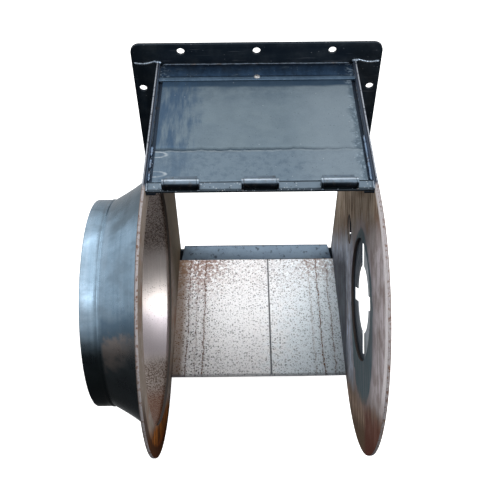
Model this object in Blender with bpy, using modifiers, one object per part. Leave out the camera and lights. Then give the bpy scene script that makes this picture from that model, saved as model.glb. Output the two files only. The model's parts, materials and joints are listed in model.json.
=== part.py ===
"""Welded steel blower housing: two U-shaped side plates, a spun inlet, a notched drive plate,
a bolted outlet flange and a front access door on three pin hinges.

Metres. X runs along the fan's axis with the inlet at -X. +Y is the way the air leaves, and the
flange's mating face is the plane Y = 0. +Z is the way the access door faces.
"""
import math

import bmesh
import bpy

# Clearances
GAP = 0.0003                    # between pieces that touch or are welded
DOOR_END_CLEARANCE = 0.0008     # between the door and the strips above and below it
DOOR_SIDE_CLEARANCE = 0.006     # between the door and each side plate

# Side plates
INNER_WIDTH = 0.270             # between the side plates' inner faces
PLATE_THICKNESS = 0.004
END_RADIUS = 0.196              # half round end; the duct's depth is twice this
END_CENTRE_DISTANCE = 0.285     # from the flange's mating face to the half round's centre

# Fan axis, shared by the inlet and the drive opening
FAN_AXIS_SETBACK = 0.008        # from the half round's centre towards the flange
FAN_AXIS_RISE = 0.002           # from the half round's centre towards the door

# Inlet
INLET_HOLE_RADIUS = 0.163
INLET_SHEET = 0.0025
CONE_LAP = 0.007                # of the cone's base, round the hole in the plate
CONE_LENGTH = 0.050
SPIGOT_RADIUS = 0.1375          # outside
SPIGOT_LENGTH = 0.0235

# Drive opening
DRIVE_HOLE_RADIUS = 0.083
DRIVE_RING_OVERLAP = 0.020
DRIVE_RING_THICKNESS = 0.0015
SHAFT_HOLE_RADIUS = 0.0455
NOTCH_COUNT = 4
NOTCH_REACH = 0.075             # from the fan axis
NOTCH_WIDTH = 0.018
PORT_HOLE_RADIUS = 0.022
PORT_HOLE_REACH = 0.135         # from the fan axis towards the flange
PORT_HOLE_DROP = 0.0045

# Outlet flange
FLANGE_THICKNESS = 0.005
FLANGE_OVERHANG = 0.0355        # beyond each side plate's outer face
FLANGE_TOP_OVERHANG = 0.0265    # beyond the side plates' front edges
FLANGE_BOTTOM_BAR = 0.032
FLANGE_BOTTOM_DROP = 0.005      # of the bottom bar below the back sheet
FLANGE_CORNER_RADIUS = 0.0125
BOLT_HOLE_RADIUS = 0.0055
BOLT_HOLE_INSET = 0.0115        # from the flange's outer edge
BOLT_PITCH = 0.105
TOP_BOLTS = 3
SIDE_BOLTS = 4

# Front wall
SHEET_THICKNESS = 0.003
FRONT_RECESS = 0.0057           # of the front wall below the side plates' front edges
TOP_STRIP_WIDTH = 0.0377
DOOR_LENGTH = 0.1997
HINGE_STRIP_WIDTH = 0.0155
RAIL_WIDTH = 0.012

# Hinges
HINGE_COUNT = 3
HINGE_INSET = 0.0415            # of each outer hinge's middle from the side plate beside it
HINGE_LENGTH = 0.044            # over both ears
HINGE_RADIUS = 0.006
HINGE_SETBACK = 0.0093          # of the hinge axis below the hinge strip's upper edge
EAR_THICKNESS = 0.0027
PIN_RADIUS = 0.003
LEAF_THICKNESS = 0.0025
LEAF_REACH = 0.0065             # of the leaf over the door

# Catch
CATCH_WIDTH = 0.050
CATCH_THICKNESS = 0.002
CATCH_LAP = 0.012               # under the door's edge
SCREW_INSET = 0.007             # from the top strip's free edge
SCREW_RADIUS = 0.0025
SCREW_HEAD_RADIUS = 0.0043
SCREW_HEAD_HEIGHT = 0.0026
SCREW_POINT = 0.004             # of the screw below the catch plate

# Back sheet
SEAM_OFFSET = 0.020             # from the middle towards the drive side
SHEET_END_SETBACK = 0.013       # from the half round's centre towards the flange
LIP_START_DISTANCE = 0.033
LIP_LENGTH = 0.028
LIP_ANGLE = math.radians(15.5)
LIP_SIDE_CLEARANCE = 0.003
LIP_END_SLANT = 0.005

# Roundness
END_STEPS = 48
ROUND_STEPS = 96
HOLE_STEPS = 24
CORNER_STEPS = 8

# Worked out from the sizes above
HALF_WIDTH = INNER_WIDTH / 2
OUTER_HALF_WIDTH = HALF_WIDTH + PLATE_THICKNESS
FIT_HALF_WIDTH = HALF_WIDTH - GAP
DUCT_START = -(FLANGE_THICKNESS + GAP)
FRONT_FACE = END_RADIUS - FRONT_RECESS
UNDER_FRONT = FRONT_FACE - SHEET_THICKNESS - GAP
TOP_STRIP_EDGE = DUCT_START - TOP_STRIP_WIDTH
DOOR_TOP_EDGE = TOP_STRIP_EDGE - DOOR_END_CLEARANCE
DOOR_BOTTOM_EDGE = DOOR_TOP_EDGE - DOOR_LENGTH
HINGE_STRIP_TOP = DOOR_BOTTOM_EDGE - DOOR_END_CLEARANCE
HINGE_STRIP_BOTTOM = HINGE_STRIP_TOP - HINGE_STRIP_WIDTH
HINGE_Y = HINGE_STRIP_TOP - HINGE_SETBACK
HINGE_Z = FRONT_FACE + GAP + HINGE_RADIUS
EYE_LENGTH = HINGE_LENGTH - 2 * (EAR_THICKNESS + GAP)
SHEET_FACE = -(END_RADIUS + GAP)
FLANGE_HALF_WIDTH = OUTER_HALF_WIDTH + FLANGE_OVERHANG
FLANGE_TOP = END_RADIUS + FLANGE_TOP_OVERHANG
BOTTOM_BAR_TOP = SHEET_FACE - SHEET_THICKNESS - FLANGE_BOTTOM_DROP
FLANGE_BOTTOM = BOTTOM_BAR_TOP - FLANGE_BOTTOM_BAR
SIDE_BAR_TOP = END_RADIUS + GAP
HINGE_PITCH = (INNER_WIDTH - 2 * HINGE_INSET) / (HINGE_COUNT - 1)
FAN_Y = FAN_AXIS_SETBACK - END_CENTRE_DISTANCE
CONE_BASE_RADIUS = INLET_HOLE_RADIUS + CONE_LAP
SHEET_END = SHEET_END_SETBACK - END_CENTRE_DISTANCE

# A flat outline is drawn in its own XY plane and turned into place.
FACING_X = (math.pi / 2, 0, math.pi / 2)        # outline x, y lie along world Y, Z
FACING_Y = (math.pi / 2, 0, 0)                  # outline x, y lie along world X, Z
FLAT = (0, 0, 0)
TO_INLET = (0, -math.pi / 2, 0)                 # a turned piece's axis points along -X
ALONG_X = (0, math.pi / 2, 0)


def clear_scene():
    for old in list(bpy.data.objects):
        bpy.data.objects.remove(old, do_unlink=True)


def new_collection(name):
    group = bpy.data.collections.new(name)
    bpy.context.scene.collection.children.link(group)
    return group


def steel(name, colour, roughness, metallic=0.9):
    material = bpy.data.materials.new(name)
    material.use_nodes = True
    shader = material.node_tree.nodes["Principled BSDF"]
    shader.inputs["Base Color"].default_value = (*colour, 1)
    shader.inputs["Roughness"].default_value = roughness
    shader.inputs["Metallic"].default_value = metallic
    return material


def place(name, data, group, material, location, rotation=FLAT, parent=None):
    """Link an object at a world location, or at a location from its parent's."""
    data.materials.append(material)
    piece = bpy.data.objects.new(name, data)
    piece.location = location
    piece.rotation_euler = rotation
    piece.parent = parent
    group.objects.link(piece)
    return piece


def arc(centre, radius, start, end, steps):
    """Points along an arc, both ends included; angles in degrees."""
    points = []
    for step in range(steps + 1):
        angle = math.radians(start + (end - start) * step / steps)
        points.append((centre[0] + radius * math.cos(angle), centre[1] + radius * math.sin(angle)))
    return points


def circle(centre, radius, steps=HOLE_STEPS):
    return arc(centre, radius, 0, 360, steps)[:-1]


def rectangle(x_low, x_high, y_low, y_high):
    return [(x_low, y_low), (x_high, y_low), (x_high, y_high), (x_low, y_high)]


def sheet(outlines, thickness):
    """A flat piece: the first outline is its edge, and the others are holes in it."""
    data = bpy.data.curves.new("outline", "CURVE")
    data.dimensions = "2D"
    data.fill_mode = "BOTH"
    data.extrude = thickness / 2
    for outline in outlines:
        spline = data.splines.new("POLY")
        spline.points.add(len(outline) - 1)
        for point, (x, y) in zip(spline.points, outline):
            point.co = (x, y, 0, 1)
        spline.use_cyclic_u = True
    return data


def block(size):
    mesh = bpy.data.meshes.new("block")
    shape = bmesh.new()
    bmesh.ops.create_cube(shape, size=1)
    bmesh.ops.scale(shape, vec=size, verts=shape.verts)
    shape.to_mesh(mesh)
    shape.free()
    return mesh


def bar(name, group, material, low, high):
    """A plain bar between two corners."""
    size = [high[axis] - low[axis] for axis in range(3)]
    middle = [(high[axis] + low[axis]) / 2 for axis in range(3)]
    return place(name, block(size), group, material, middle)


def rod(radius, length):
    mesh = bpy.data.meshes.new("rod")
    shape = bmesh.new()
    bmesh.ops.create_cone(shape, cap_ends=True, segments=HOLE_STEPS,
                          radius1=radius, radius2=radius, depth=length)
    shape.to_mesh(mesh)
    shape.free()
    mesh.shade_smooth()
    mesh.set_sharp_from_angle(angle=math.radians(40))
    return mesh


def profile_mesh(points, closed):
    """A profile for turning: radius along X, height along Z, outer side from top to bottom."""
    mesh = bpy.data.meshes.new("profile")
    edges = [(index, index + 1) for index in range(len(points) - 1)]
    if closed:
        edges.append((len(points) - 1, 0))
    mesh.from_pydata([(radius, 0, height) for radius, height in points], edges, [])
    return mesh


def turn(piece, steps):
    screw = piece.modifiers.new("turned", "SCREW")
    screw.steps = steps
    screw.render_steps = steps
    screw.use_merge_vertices = True
    screw.merge_threshold = 0.00001
    screw.use_smooth_shade = True


def side_plate_outline():
    centre = (-END_CENTRE_DISTANCE, 0)
    round_end = arc(centre, END_RADIUS, 270, 90, END_STEPS)
    return [(DUCT_START, -END_RADIUS)] + round_end + [(DUCT_START, END_RADIUS)]


def make_side_plates(group):
    fan = (FAN_Y, FAN_AXIS_RISE)
    inlet_hole = circle(fan, INLET_HOLE_RADIUS, ROUND_STEPS)
    drive_hole = circle(fan, DRIVE_HOLE_RADIUS, ROUND_STEPS)
    port_hole = circle((FAN_Y + PORT_HOLE_REACH, -PORT_HOLE_DROP), PORT_HOLE_RADIUS)
    middle = HALF_WIDTH + PLATE_THICKNESS / 2
    place("inlet_side_plate", sheet([side_plate_outline(), inlet_hole], PLATE_THICKNESS), group,
          steel("inlet_plate_steel", (0.35, 0.31, 0.28), 0.45), (-middle, 0, 0), FACING_X)
    place("drive_side_plate",
          sheet([side_plate_outline(), drive_hole, port_hole], PLATE_THICKNESS), group,
          steel("drive_plate_steel", (0.36, 0.32, 0.31), 0.45), (middle, 0, 0), FACING_X)


def notched_circle():
    """The shaft hole with its square notches, as one outline round the fan axis."""
    half = NOTCH_WIDTH / 2
    mouth = math.degrees(math.asin(half / SHAFT_HOLE_RADIUS))
    points = []
    for notch in range(NOTCH_COUNT):
        middle = (notch + 0.5) * 360 / NOTCH_COUNT
        along = (math.cos(math.radians(middle)), math.sin(math.radians(middle)))
        for side in (-half, half):
            x = along[0] * NOTCH_REACH - along[1] * side
            y = along[1] * NOTCH_REACH + along[0] * side
            points.append((FAN_Y + x, FAN_AXIS_RISE + y))
        points += arc((FAN_Y, FAN_AXIS_RISE), SHAFT_HOLE_RADIUS, middle + mouth,
                      middle + 360 / NOTCH_COUNT - mouth, HOLE_STEPS // 2)
    return points


def make_drive_ring(group):
    edge = circle((FAN_Y, FAN_AXIS_RISE), DRIVE_HOLE_RADIUS + DRIVE_RING_OVERLAP, ROUND_STEPS)
    x = OUTER_HALF_WIDTH + GAP + DRIVE_RING_THICKNESS / 2
    place("drive_ring", sheet([edge, notched_circle()], DRIVE_RING_THICKNESS), group,
          steel("drive_ring_steel", (0.12, 0.14, 0.16), 0.5), (x, 0, 0), FACING_X)


def make_inlet(group):
    material = steel("spun_steel", (0.20, 0.25, 0.29), 0.35)
    inner_base = CONE_BASE_RADIUS - INLET_SHEET
    inner_neck = SPIGOT_RADIUS - INLET_SHEET
    start = OUTER_HALF_WIDTH + GAP
    cone = profile_mesh([(SPIGOT_RADIUS, CONE_LENGTH), (CONE_BASE_RADIUS, 0),
                         (inner_base, 0), (inner_neck, CONE_LENGTH)], closed=True)
    turn(place("inlet_cone", cone, group, material,
               (-start, FAN_Y, FAN_AXIS_RISE), TO_INLET), ROUND_STEPS)
    spigot = profile_mesh([(SPIGOT_RADIUS, SPIGOT_LENGTH), (SPIGOT_RADIUS, 0),
                           (inner_neck, 0), (inner_neck, SPIGOT_LENGTH)], closed=True)
    turn(place("inlet_spigot", spigot, group, material,
               (-start - CONE_LENGTH - GAP, FAN_Y, FAN_AXIS_RISE), TO_INLET), ROUND_STEPS)


def rounded_corners(x, y, turn_up):
    """Left and right outer corners of the flange, as arcs; turn_up for the top ones."""
    radius = FLANGE_CORNER_RADIUS
    if turn_up:
        right = arc((x - radius, y - radius), radius, 0, 90, CORNER_STEPS)
        left = arc((radius - x, y - radius), radius, 90, 180, CORNER_STEPS)
        return right, left
    left = arc((radius - x, y + radius), radius, 180, 270, CORNER_STEPS)
    right = arc((x - radius, y + radius), radius, 270, 360, CORNER_STEPS)
    return left, right


def bolt_row(count, fixed, along_x, middle=0.0):
    holes = []
    for index in range(count):
        offset = middle + (index - (count - 1) / 2) * BOLT_PITCH
        centre = (offset, fixed) if along_x else (fixed, offset)
        holes.append(circle(centre, BOLT_HOLE_RADIUS))
    return holes


def make_flange(group):
    material = steel("flange_steel", (0.012, 0.014, 0.018), 0.45)
    y = -FLANGE_THICKNESS / 2
    edge = FLANGE_HALF_WIDTH
    tongue = FIT_HALF_WIDTH
    right, left = rounded_corners(edge, FLANGE_TOP, turn_up=True)
    joint = SIDE_BAR_TOP + GAP
    under_strip = FRONT_FACE - SHEET_THICKNESS
    top = right + left + [(-edge, joint), (-tongue, joint), (-tongue, under_strip),
                          (tongue, under_strip), (tongue, joint), (edge, joint)]
    holes = bolt_row(TOP_BOLTS, FLANGE_TOP - BOLT_HOLE_INSET, along_x=True)
    place("flange_top_bar", sheet([top] + holes, FLANGE_THICKNESS), group, material,
          (0, y, 0), FACING_Y)

    left, right = rounded_corners(edge, FLANGE_BOTTOM, turn_up=False)
    bottom = left + right + [(edge, BOTTOM_BAR_TOP), (-edge, BOTTOM_BAR_TOP)]
    holes = bolt_row(TOP_BOLTS, FLANGE_BOTTOM + BOLT_HOLE_INSET, along_x=True)
    place("flange_bottom_bar", sheet([bottom] + holes, FLANGE_THICKNESS), group, material,
          (0, y, 0), FACING_Y)

    middle = (FLANGE_TOP + FLANGE_BOTTOM) / 2
    for side, name in ((-1, "flange_left_bar"), (1, "flange_right_bar")):
        x_low, x_high = sorted((side * HALF_WIDTH, side * edge))
        outline = rectangle(x_low, x_high, BOTTOM_BAR_TOP + GAP, SIDE_BAR_TOP)
        holes = bolt_row(SIDE_BOLTS, side * (edge - BOLT_HOLE_INSET), along_x=False, middle=middle)
        place(name, sheet([outline] + holes, FLANGE_THICKNESS), group, material,
              (0, y, 0), FACING_Y)


def make_front_wall(group):
    material = steel("mill_scale_steel", (0.14, 0.19, 0.23), 0.4)
    middle_z = FRONT_FACE - SHEET_THICKNESS / 2
    screw_y = TOP_STRIP_EDGE + SCREW_INSET
    screw_hole = circle((0, screw_y), SCREW_RADIUS + GAP)
    strip = rectangle(-FIT_HALF_WIDTH, FIT_HALF_WIDTH, TOP_STRIP_EDGE, DUCT_START)
    place("front_top_strip", sheet([strip, screw_hole], SHEET_THICKNESS), group, material,
          (0, 0, middle_z))
    bar("hinge_strip", group, material,
        (-FIT_HALF_WIDTH, HINGE_STRIP_BOTTOM, FRONT_FACE - SHEET_THICKNESS),
        (FIT_HALF_WIDTH, HINGE_STRIP_TOP, FRONT_FACE))
    for side, name in ((-1, "door_rail_left"), (1, "door_rail_right")):
        x_low, x_high = sorted((side * FIT_HALF_WIDTH, side * (FIT_HALF_WIDTH - RAIL_WIDTH)))
        bar(name, group, material, (x_low, HINGE_STRIP_BOTTOM, UNDER_FRONT - SHEET_THICKNESS),
            (x_high, DUCT_START, UNDER_FRONT))


def make_catch(group):
    half = CATCH_WIDTH / 2
    screw_y = TOP_STRIP_EDGE + SCREW_INSET
    outline = rectangle(-half, half, DOOR_TOP_EDGE - CATCH_LAP, screw_y + CATCH_LAP)
    hole = circle((0, screw_y), SCREW_RADIUS + GAP)
    place("catch_plate", sheet([outline, hole], CATCH_THICKNESS), group,
          steel("catch_steel", (0.2, 0.2, 0.21), 0.45), (0, 0, UNDER_FRONT - CATCH_THICKNESS / 2))

    shank = SHEET_THICKNESS + GAP + CATCH_THICKNESS + SCREW_POINT
    shoulder = SCREW_HEAD_HEIGHT * 0.4
    profile = [(0, SCREW_HEAD_HEIGHT), (SCREW_HEAD_RADIUS * 0.7, SCREW_HEAD_HEIGHT),
               (SCREW_HEAD_RADIUS, shoulder), (SCREW_HEAD_RADIUS, GAP), (SCREW_RADIUS, GAP),
               (SCREW_RADIUS, -shank), (0, -shank)]
    turn(place("retaining_screw", profile_mesh(profile, closed=False), group,
               steel("screw_steel", (0.5, 0.5, 0.5), 0.35), (0, screw_y, FRONT_FACE)), HOLE_STEPS)


def eye_outline():
    """Rolled barrel with its leaf, seen along the hinge axis, which is the origin."""
    leaf_top = LEAF_THICKNESS - HINGE_RADIUS
    leaf_tip = DOOR_BOTTOM_EDGE - HINGE_Y + LEAF_REACH
    meeting = math.degrees(math.asin(leaf_top / HINGE_RADIUS))
    barrel = arc((0, 0), HINGE_RADIUS, 270, meeting, HOLE_STEPS)
    return [(leaf_tip, -HINGE_RADIUS)] + barrel + [(leaf_tip, leaf_top)]


def ear_outline():
    foot = -HINGE_RADIUS
    return [(HINGE_RADIUS, foot)] + arc((0, 0), HINGE_RADIUS, 0, 180, HOLE_STEPS // 2) + [
        (-HINGE_RADIUS, foot)]


def make_hinges(group, door_axis):
    material = steel("hinge_steel", (0.11, 0.14, 0.17), 0.4)
    pin_material = steel("pin_steel", (0.3, 0.3, 0.31), 0.35)
    pin_hole = circle((0, 0), PIN_RADIUS + GAP)
    ear_x = HINGE_LENGTH / 2 - EAR_THICKNESS / 2
    for index in range(HINGE_COUNT):
        x = (index - (HINGE_COUNT - 1) / 2) * HINGE_PITCH
        number = index + 1
        place(f"door_hinge_eye_{number}", sheet([eye_outline(), pin_hole], EYE_LENGTH), group,
              material, (x, 0, 0), FACING_X, door_axis)
        for side, word in ((-1, "left"), (1, "right")):
            place(f"hinge_ear_{number}_{word}", sheet([ear_outline(), pin_hole], EAR_THICKNESS),
                  group, material, (x + side * ear_x, HINGE_Y, HINGE_Z), FACING_X)
        place(f"hinge_pin_{number}", rod(PIN_RADIUS, HINGE_LENGTH), group, pin_material,
              (x, HINGE_Y, HINGE_Z), ALONG_X)


def make_door(group, door_axis):
    size = (2 * (HALF_WIDTH - DOOR_SIDE_CLEARANCE), DOOR_LENGTH, SHEET_THICKNESS)
    middle_y = (DOOR_TOP_EDGE + DOOR_BOTTOM_EDGE) / 2 - HINGE_Y
    middle_z = FRONT_FACE - SHEET_THICKNESS / 2 - HINGE_Z
    place("access_door", block(size), group, steel("door_steel", (0.16, 0.21, 0.24), 0.38),
          (0, middle_y, middle_z), FLAT, door_axis)


def make_back_sheet(group):
    material = steel("back_sheet_steel", (0.45, 0.45, 0.46), 0.4)
    low_z = SHEET_FACE - SHEET_THICKNESS
    start = -LIP_START_DISTANCE - GAP
    bar("back_sheet_left", group, material, (-OUTER_HALF_WIDTH, SHEET_END, low_z),
        (SEAM_OFFSET - GAP / 2, start, SHEET_FACE))
    bar("back_sheet_right", group, material,
        (SEAM_OFFSET + GAP / 2, SHEET_END, low_z), (OUTER_HALF_WIDTH, start, SHEET_FACE))

    wide = HALF_WIDTH - LIP_SIDE_CLEARANCE
    narrow = wide - LIP_END_SLANT
    outline = [(-wide, 0), (wide, 0), (narrow, LIP_LENGTH), (-narrow, LIP_LENGTH)]
    sunk = SHEET_THICKNESS / 2
    middle = (0, -LIP_START_DISTANCE + sunk * math.sin(LIP_ANGLE),
              SHEET_FACE - sunk * math.cos(LIP_ANGLE))
    place("outlet_lip", sheet([outline], SHEET_THICKNESS), group,
          steel("lip_steel", (0.17, 0.21, 0.24), 0.45), middle, (LIP_ANGLE, 0, 0))


def main():
    clear_scene()
    group = new_collection("blower_housing")
    door_axis = bpy.data.objects.new("door_axis", None)
    door_axis.location = (0, HINGE_Y, HINGE_Z)
    group.objects.link(door_axis)
    make_side_plates(group)
    make_drive_ring(group)
    make_inlet(group)
    make_flange(group)
    make_front_wall(group)
    make_catch(group)
    make_door(group, door_axis)
    make_hinges(group, door_axis)
    make_back_sheet(group)


main()
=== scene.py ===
"""Finished looks for a welded steel blower housing, laid out as a Blender add-on.

Metres, in the housing's own frame: X runs along the fan's axis with the inlet at -X, +Y is the
way the air leaves, and +Z is the way the access door faces.
"""

import json
import math

import bmesh
import bpy
from mathutils import Matrix, Vector


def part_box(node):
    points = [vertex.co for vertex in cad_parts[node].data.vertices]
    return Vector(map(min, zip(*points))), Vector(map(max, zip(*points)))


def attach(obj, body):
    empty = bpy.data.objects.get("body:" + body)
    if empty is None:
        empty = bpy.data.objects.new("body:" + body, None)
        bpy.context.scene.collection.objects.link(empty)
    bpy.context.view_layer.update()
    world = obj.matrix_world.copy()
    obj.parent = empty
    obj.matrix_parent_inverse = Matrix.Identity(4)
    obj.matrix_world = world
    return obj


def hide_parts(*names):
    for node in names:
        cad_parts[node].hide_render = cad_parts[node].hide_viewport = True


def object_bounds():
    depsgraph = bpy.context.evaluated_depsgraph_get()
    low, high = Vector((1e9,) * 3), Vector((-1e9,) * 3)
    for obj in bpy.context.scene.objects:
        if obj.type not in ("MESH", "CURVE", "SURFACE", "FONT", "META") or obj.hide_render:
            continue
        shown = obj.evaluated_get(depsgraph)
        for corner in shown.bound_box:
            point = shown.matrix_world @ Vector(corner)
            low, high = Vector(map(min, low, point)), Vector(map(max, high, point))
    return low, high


bl_info = {
    "name": "Blower Housing",
    "version": (1, 0, 0),
    "blender": (4, 5, 0),
    "location": "3D View > Sidebar > Blower",
    "description": "Builds the finished plates, inlet, door, welds and studio of a blower housing",
    "category": "Add Mesh",
}

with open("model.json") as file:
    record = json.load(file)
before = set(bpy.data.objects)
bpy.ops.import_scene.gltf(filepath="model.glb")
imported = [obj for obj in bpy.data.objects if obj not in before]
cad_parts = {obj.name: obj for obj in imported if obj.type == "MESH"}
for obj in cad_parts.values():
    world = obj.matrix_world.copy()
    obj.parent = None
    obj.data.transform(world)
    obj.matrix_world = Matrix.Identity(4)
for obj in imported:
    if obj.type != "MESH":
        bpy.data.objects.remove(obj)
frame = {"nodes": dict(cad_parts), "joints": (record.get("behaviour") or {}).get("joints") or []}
CAD_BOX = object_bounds()

# Places and sizes of the frame's parts
PLATE_LOW, PLATE_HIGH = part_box("drive_side_plate")
INNER = PLATE_LOW.x                     # each side plate's inner face
OUTER = PLATE_HIGH.x                    # and its outer face
STRIP_LOW, STRIP_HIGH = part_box("front_top_strip")
DOOR_LOW, DOOR_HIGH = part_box("access_door")
SILL_LOW, SILL_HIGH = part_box("hinge_strip")
RAIL_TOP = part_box("door_rail_right")[1].z
SHEET_LOW, SHEET_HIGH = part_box("back_sheet_left")
SECOND_LOW, SECOND_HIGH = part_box("back_sheet_right")
LIP_LOW, LIP_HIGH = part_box("outlet_lip")
CONE_LOW, CONE_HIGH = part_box("inlet_cone")
SPIGOT_LOW, SPIGOT_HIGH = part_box("inlet_spigot")
RING_LOW, RING_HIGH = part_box("drive_ring")
SCREW_LOW, SCREW_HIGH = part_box("retaining_screw")
SIDE_BAR_LOW, SIDE_BAR_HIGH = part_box("flange_right_bar")
FLANGE_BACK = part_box("flange_top_bar")[0].y     # the flange's face towards the housing
BOTTOM_BAR_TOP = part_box("flange_bottom_bar")[1].z
FAN = (SPIGOT_LOW + SPIGOT_HIGH) / 2    # a point on the fan's axis
HINGE = Vector(frame["joints"][0]["pos_m"])
FACE = DOOR_HIGH.z                      # the front wall's face
HINGE_COUNT = 3

MERGE = 0.000001                        # points closer than this become one
TURN = 2 * math.pi
ROUND_STEPS = 256                       # faces round the inlet
CONE_STEPS, ARC_STEPS = 12, 8           # points along the cone, and along each small arc
CONE_BOW = 0.0016                       # how far the cone's wall bows towards the axis
RIDGE_WIDTH = 0.0045                    # the ridge between the cone and the spigot
SPIGOT_LAP = 0.0002                     # how far the spigot reaches into the cone
SCREW_SHANK, SCREW_SOCKET = 0.0025, 0.0014      # radii
SPATTER_SIZES = (0.00025, 0.0009)       # radii of the smallest and the largest drop
SPATTER_DENSITY = 50000                 # drops in a square metre
SLOPE_Y, SLOPE_Z = 0.75, 0.66           # up the slope that faces the outlet and the sky
FLOOR_HALF = 6.0
FLOOR_GAP = 0.0005                      # between the floor and the housing
FLOOR_GLOW = 0.75
SENSOR_WIDTH = 36                       # millimetres
FLAT_ANGLE = math.radians(0.5)          # faces that meet at less than this are joined
BEVEL_ANGLE = math.radians(35)          # edges sharper than this are rounded

# two lamps over the inlet and one beside the drive plate:
# name, place, target, width, height, watts
LAMPS = (
    ("lamp_inlet_far", (-0.52, 0.50, 1.40), (-0.20, -0.28, 0.14), 0.8, 0.2, 0.8),
    ("lamp_inlet_near", (-0.52, -1.17, 1.34), (-0.20, -0.36, 0.11), 0.7, 0.25, 1.15),
    ("lamp_drive_side", (1.21, -0.62, 0.58), (-0.157, -0.185, -0.125), 0.30, 0.30, 9.5),
)


# ---------------------------------------------------------------- properties

def length(label, text, default):
    return bpy.props.FloatProperty(name=label, description=text, default=default, min=0,
                                   precision=5, subtype="DISTANCE", unit="LENGTH")


def angle(label, text, default):
    return bpy.props.FloatProperty(name=label, description=text, default=math.radians(default),
                                   subtype="ANGLE", unit="ROTATION")


def colour(label, text, default):
    return bpy.props.FloatVectorProperty(name=label, description=text, default=default, size=3,
                                         min=0, max=1, subtype="COLOR")


class BlowerSizes(bpy.types.PropertyGroup):
    """Sizes of the finished details."""
    plate_edge: length("Plate Edge", "Rounding of the cut edges of the plates", 0.0004)
    sheet_edge: length("Sheet Edge", "Rounding of the edges of the sheets", 0.0007)
    hinge_edge: length("Hinge Edge", "Rounding of the ends of the hinges", 0.0005)
    inlet_wall: length("Inlet Wall", "Thickness of the spun inlet", 0.0025)
    ridge: length("Ridge", "Height of the ridge between the cone and the spigot", 0.0007)
    band_width: length("Folded Band", "Width of the raised edge of the top strip", 0.0085)
    band_height: length("Band Height", "Height of the raised edge of the top strip", 0.0007)
    crease_drop: length("Crease Distance", "From the door's lower edge to its crease", 0.0585)
    crease_depth: length("Crease Depth", "Depth of the crease in the door", 0.0004)
    bead: length("Weld Bead", "Radius of a weld bead", 0.0020)
    ripple: length("Weld Ripple", "Distance between the ripples of a bead", 0.0024)


class BlowerColours(bpy.types.PropertyGroup):
    """Base colours of the finishes."""
    door: colour("Door", "Mill scale on the access door", (0.19, 0.245, 0.285))
    sill: colour("Hinge Strip", "Mill scale below the door", (0.19, 0.25, 0.31))
    hinge: colour("Hinges", "Rubbed steel of the hinges", (0.21, 0.28, 0.35))
    flange: colour("Flange", "Black scale of the flange", (0.009, 0.015, 0.024))
    spun: colour("Spun Steel", "Outside of the inlet", (0.38, 0.53, 0.68))
    lining: colour("Inlet Lining", "Inside of the inlet", (0.80, 0.74, 0.71))
    plate: colour("Plate", "Grey brown steel of the side plates", (0.29, 0.245, 0.21))
    edge: colour("Cut Edge", "Cut edges of the side plates", (0.36, 0.34, 0.35))
    rust: colour("Rust", "Rust on the plates", (0.20, 0.065, 0.016))
    ring: colour("Drive Ring", "Dark steel of the drive ring", (0.050, 0.075, 0.105))
    sheet: colour("Back Sheet", "Bright rough steel of the back sheet", (1.0, 0.99, 1.0))
    stain: colour("Stain", "Brown stain on the back sheet", (0.13, 0.065, 0.040))
    weld: colour("Weld", "Weld metal", (0.40, 0.45, 0.50))


class BlowerStudio(bpy.types.PropertyGroup):
    """Camera and light."""
    camera_place: bpy.props.FloatVectorProperty(
        name="Camera Place", description="Where the camera stands",
        default=(-0.0165, -0.8869, 0.7955), subtype="TRANSLATION", unit="LENGTH")
    camera_down: angle("Camera Pitch", "How far down the camera looks", 48.565)
    camera_aside: angle("Camera Yaw", "How far to the drive side the camera looks", 0.367)
    camera_roll: angle("Camera Roll", "Roll about the line of sight", 0.361)
    camera_lens: bpy.props.FloatProperty(name="Lens", description="Focal length in millimetres",
                                         default=53.3, subtype="DISTANCE_CAMERA")
    sky: bpy.props.FloatProperty(name="Sky", description="Brightness overhead", default=0.85)
    ground: bpy.props.FloatProperty(name="Ground", description="Brightness below", default=0.03)


# ---------------------------------------------------------------- node graphs

class Wire:
    """A node's output. Arithmetic on it adds Math nodes."""

    def __init__(self, graph, socket):
        self.graph = graph
        self.socket = socket

    def other(self, output):
        """Another output of the same node."""
        return Wire(self.graph, self.socket.node.outputs[output])

    def math(self, operation, first, second=0.0):
        """A Math node on two values or wires."""
        return self.graph.node("ShaderNodeMath", {0: first, 1: second}, {"operation": operation})

    def __add__(self, value):
        return self.math("ADD", self, value)

    def __radd__(self, value):
        return self.math("ADD", value, self)

    def __sub__(self, value):
        return self.math("SUBTRACT", self, value)

    def __rsub__(self, value):
        return self.math("SUBTRACT", value, self)

    def __mul__(self, value):
        return self.math("MULTIPLY", self, value)

    def __truediv__(self, value):
        return self.math("DIVIDE", self, value)

    def __pow__(self, value):
        return self.math("POWER", self, value)

    def __abs__(self):
        return self.math("ABSOLUTE", self)


class Graph:
    """A node tree under construction."""

    def __init__(self, tree):
        self.tree = tree

    def node(self, kind, sockets=None, settings=None, output=0):
        """Add a node with values or wires for its sockets, and its own settings."""
        made = self.tree.nodes.new(kind)
        for name, value in (settings or {}).items():
            setattr(made, name, value)
        for key, value in (sockets or {}).items():
            socket = made.inputs[key]
            if isinstance(value, Wire):
                self.tree.links.new(value.socket, socket)
            elif socket.type == "RGBA":
                socket.default_value = (*value, 1)
            else:
                socket.default_value = value
        return Wire(self, made.outputs[output]) if len(made.outputs) else None

    def rise(self, value, start, end):
        """0 at start, 1 at end, smooth between; start may be the larger one."""
        return self.node("ShaderNodeMapRange", {"Value": value, "From Min": start, "From Max": end},
                         {"interpolation_type": "SMOOTHSTEP"})


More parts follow.
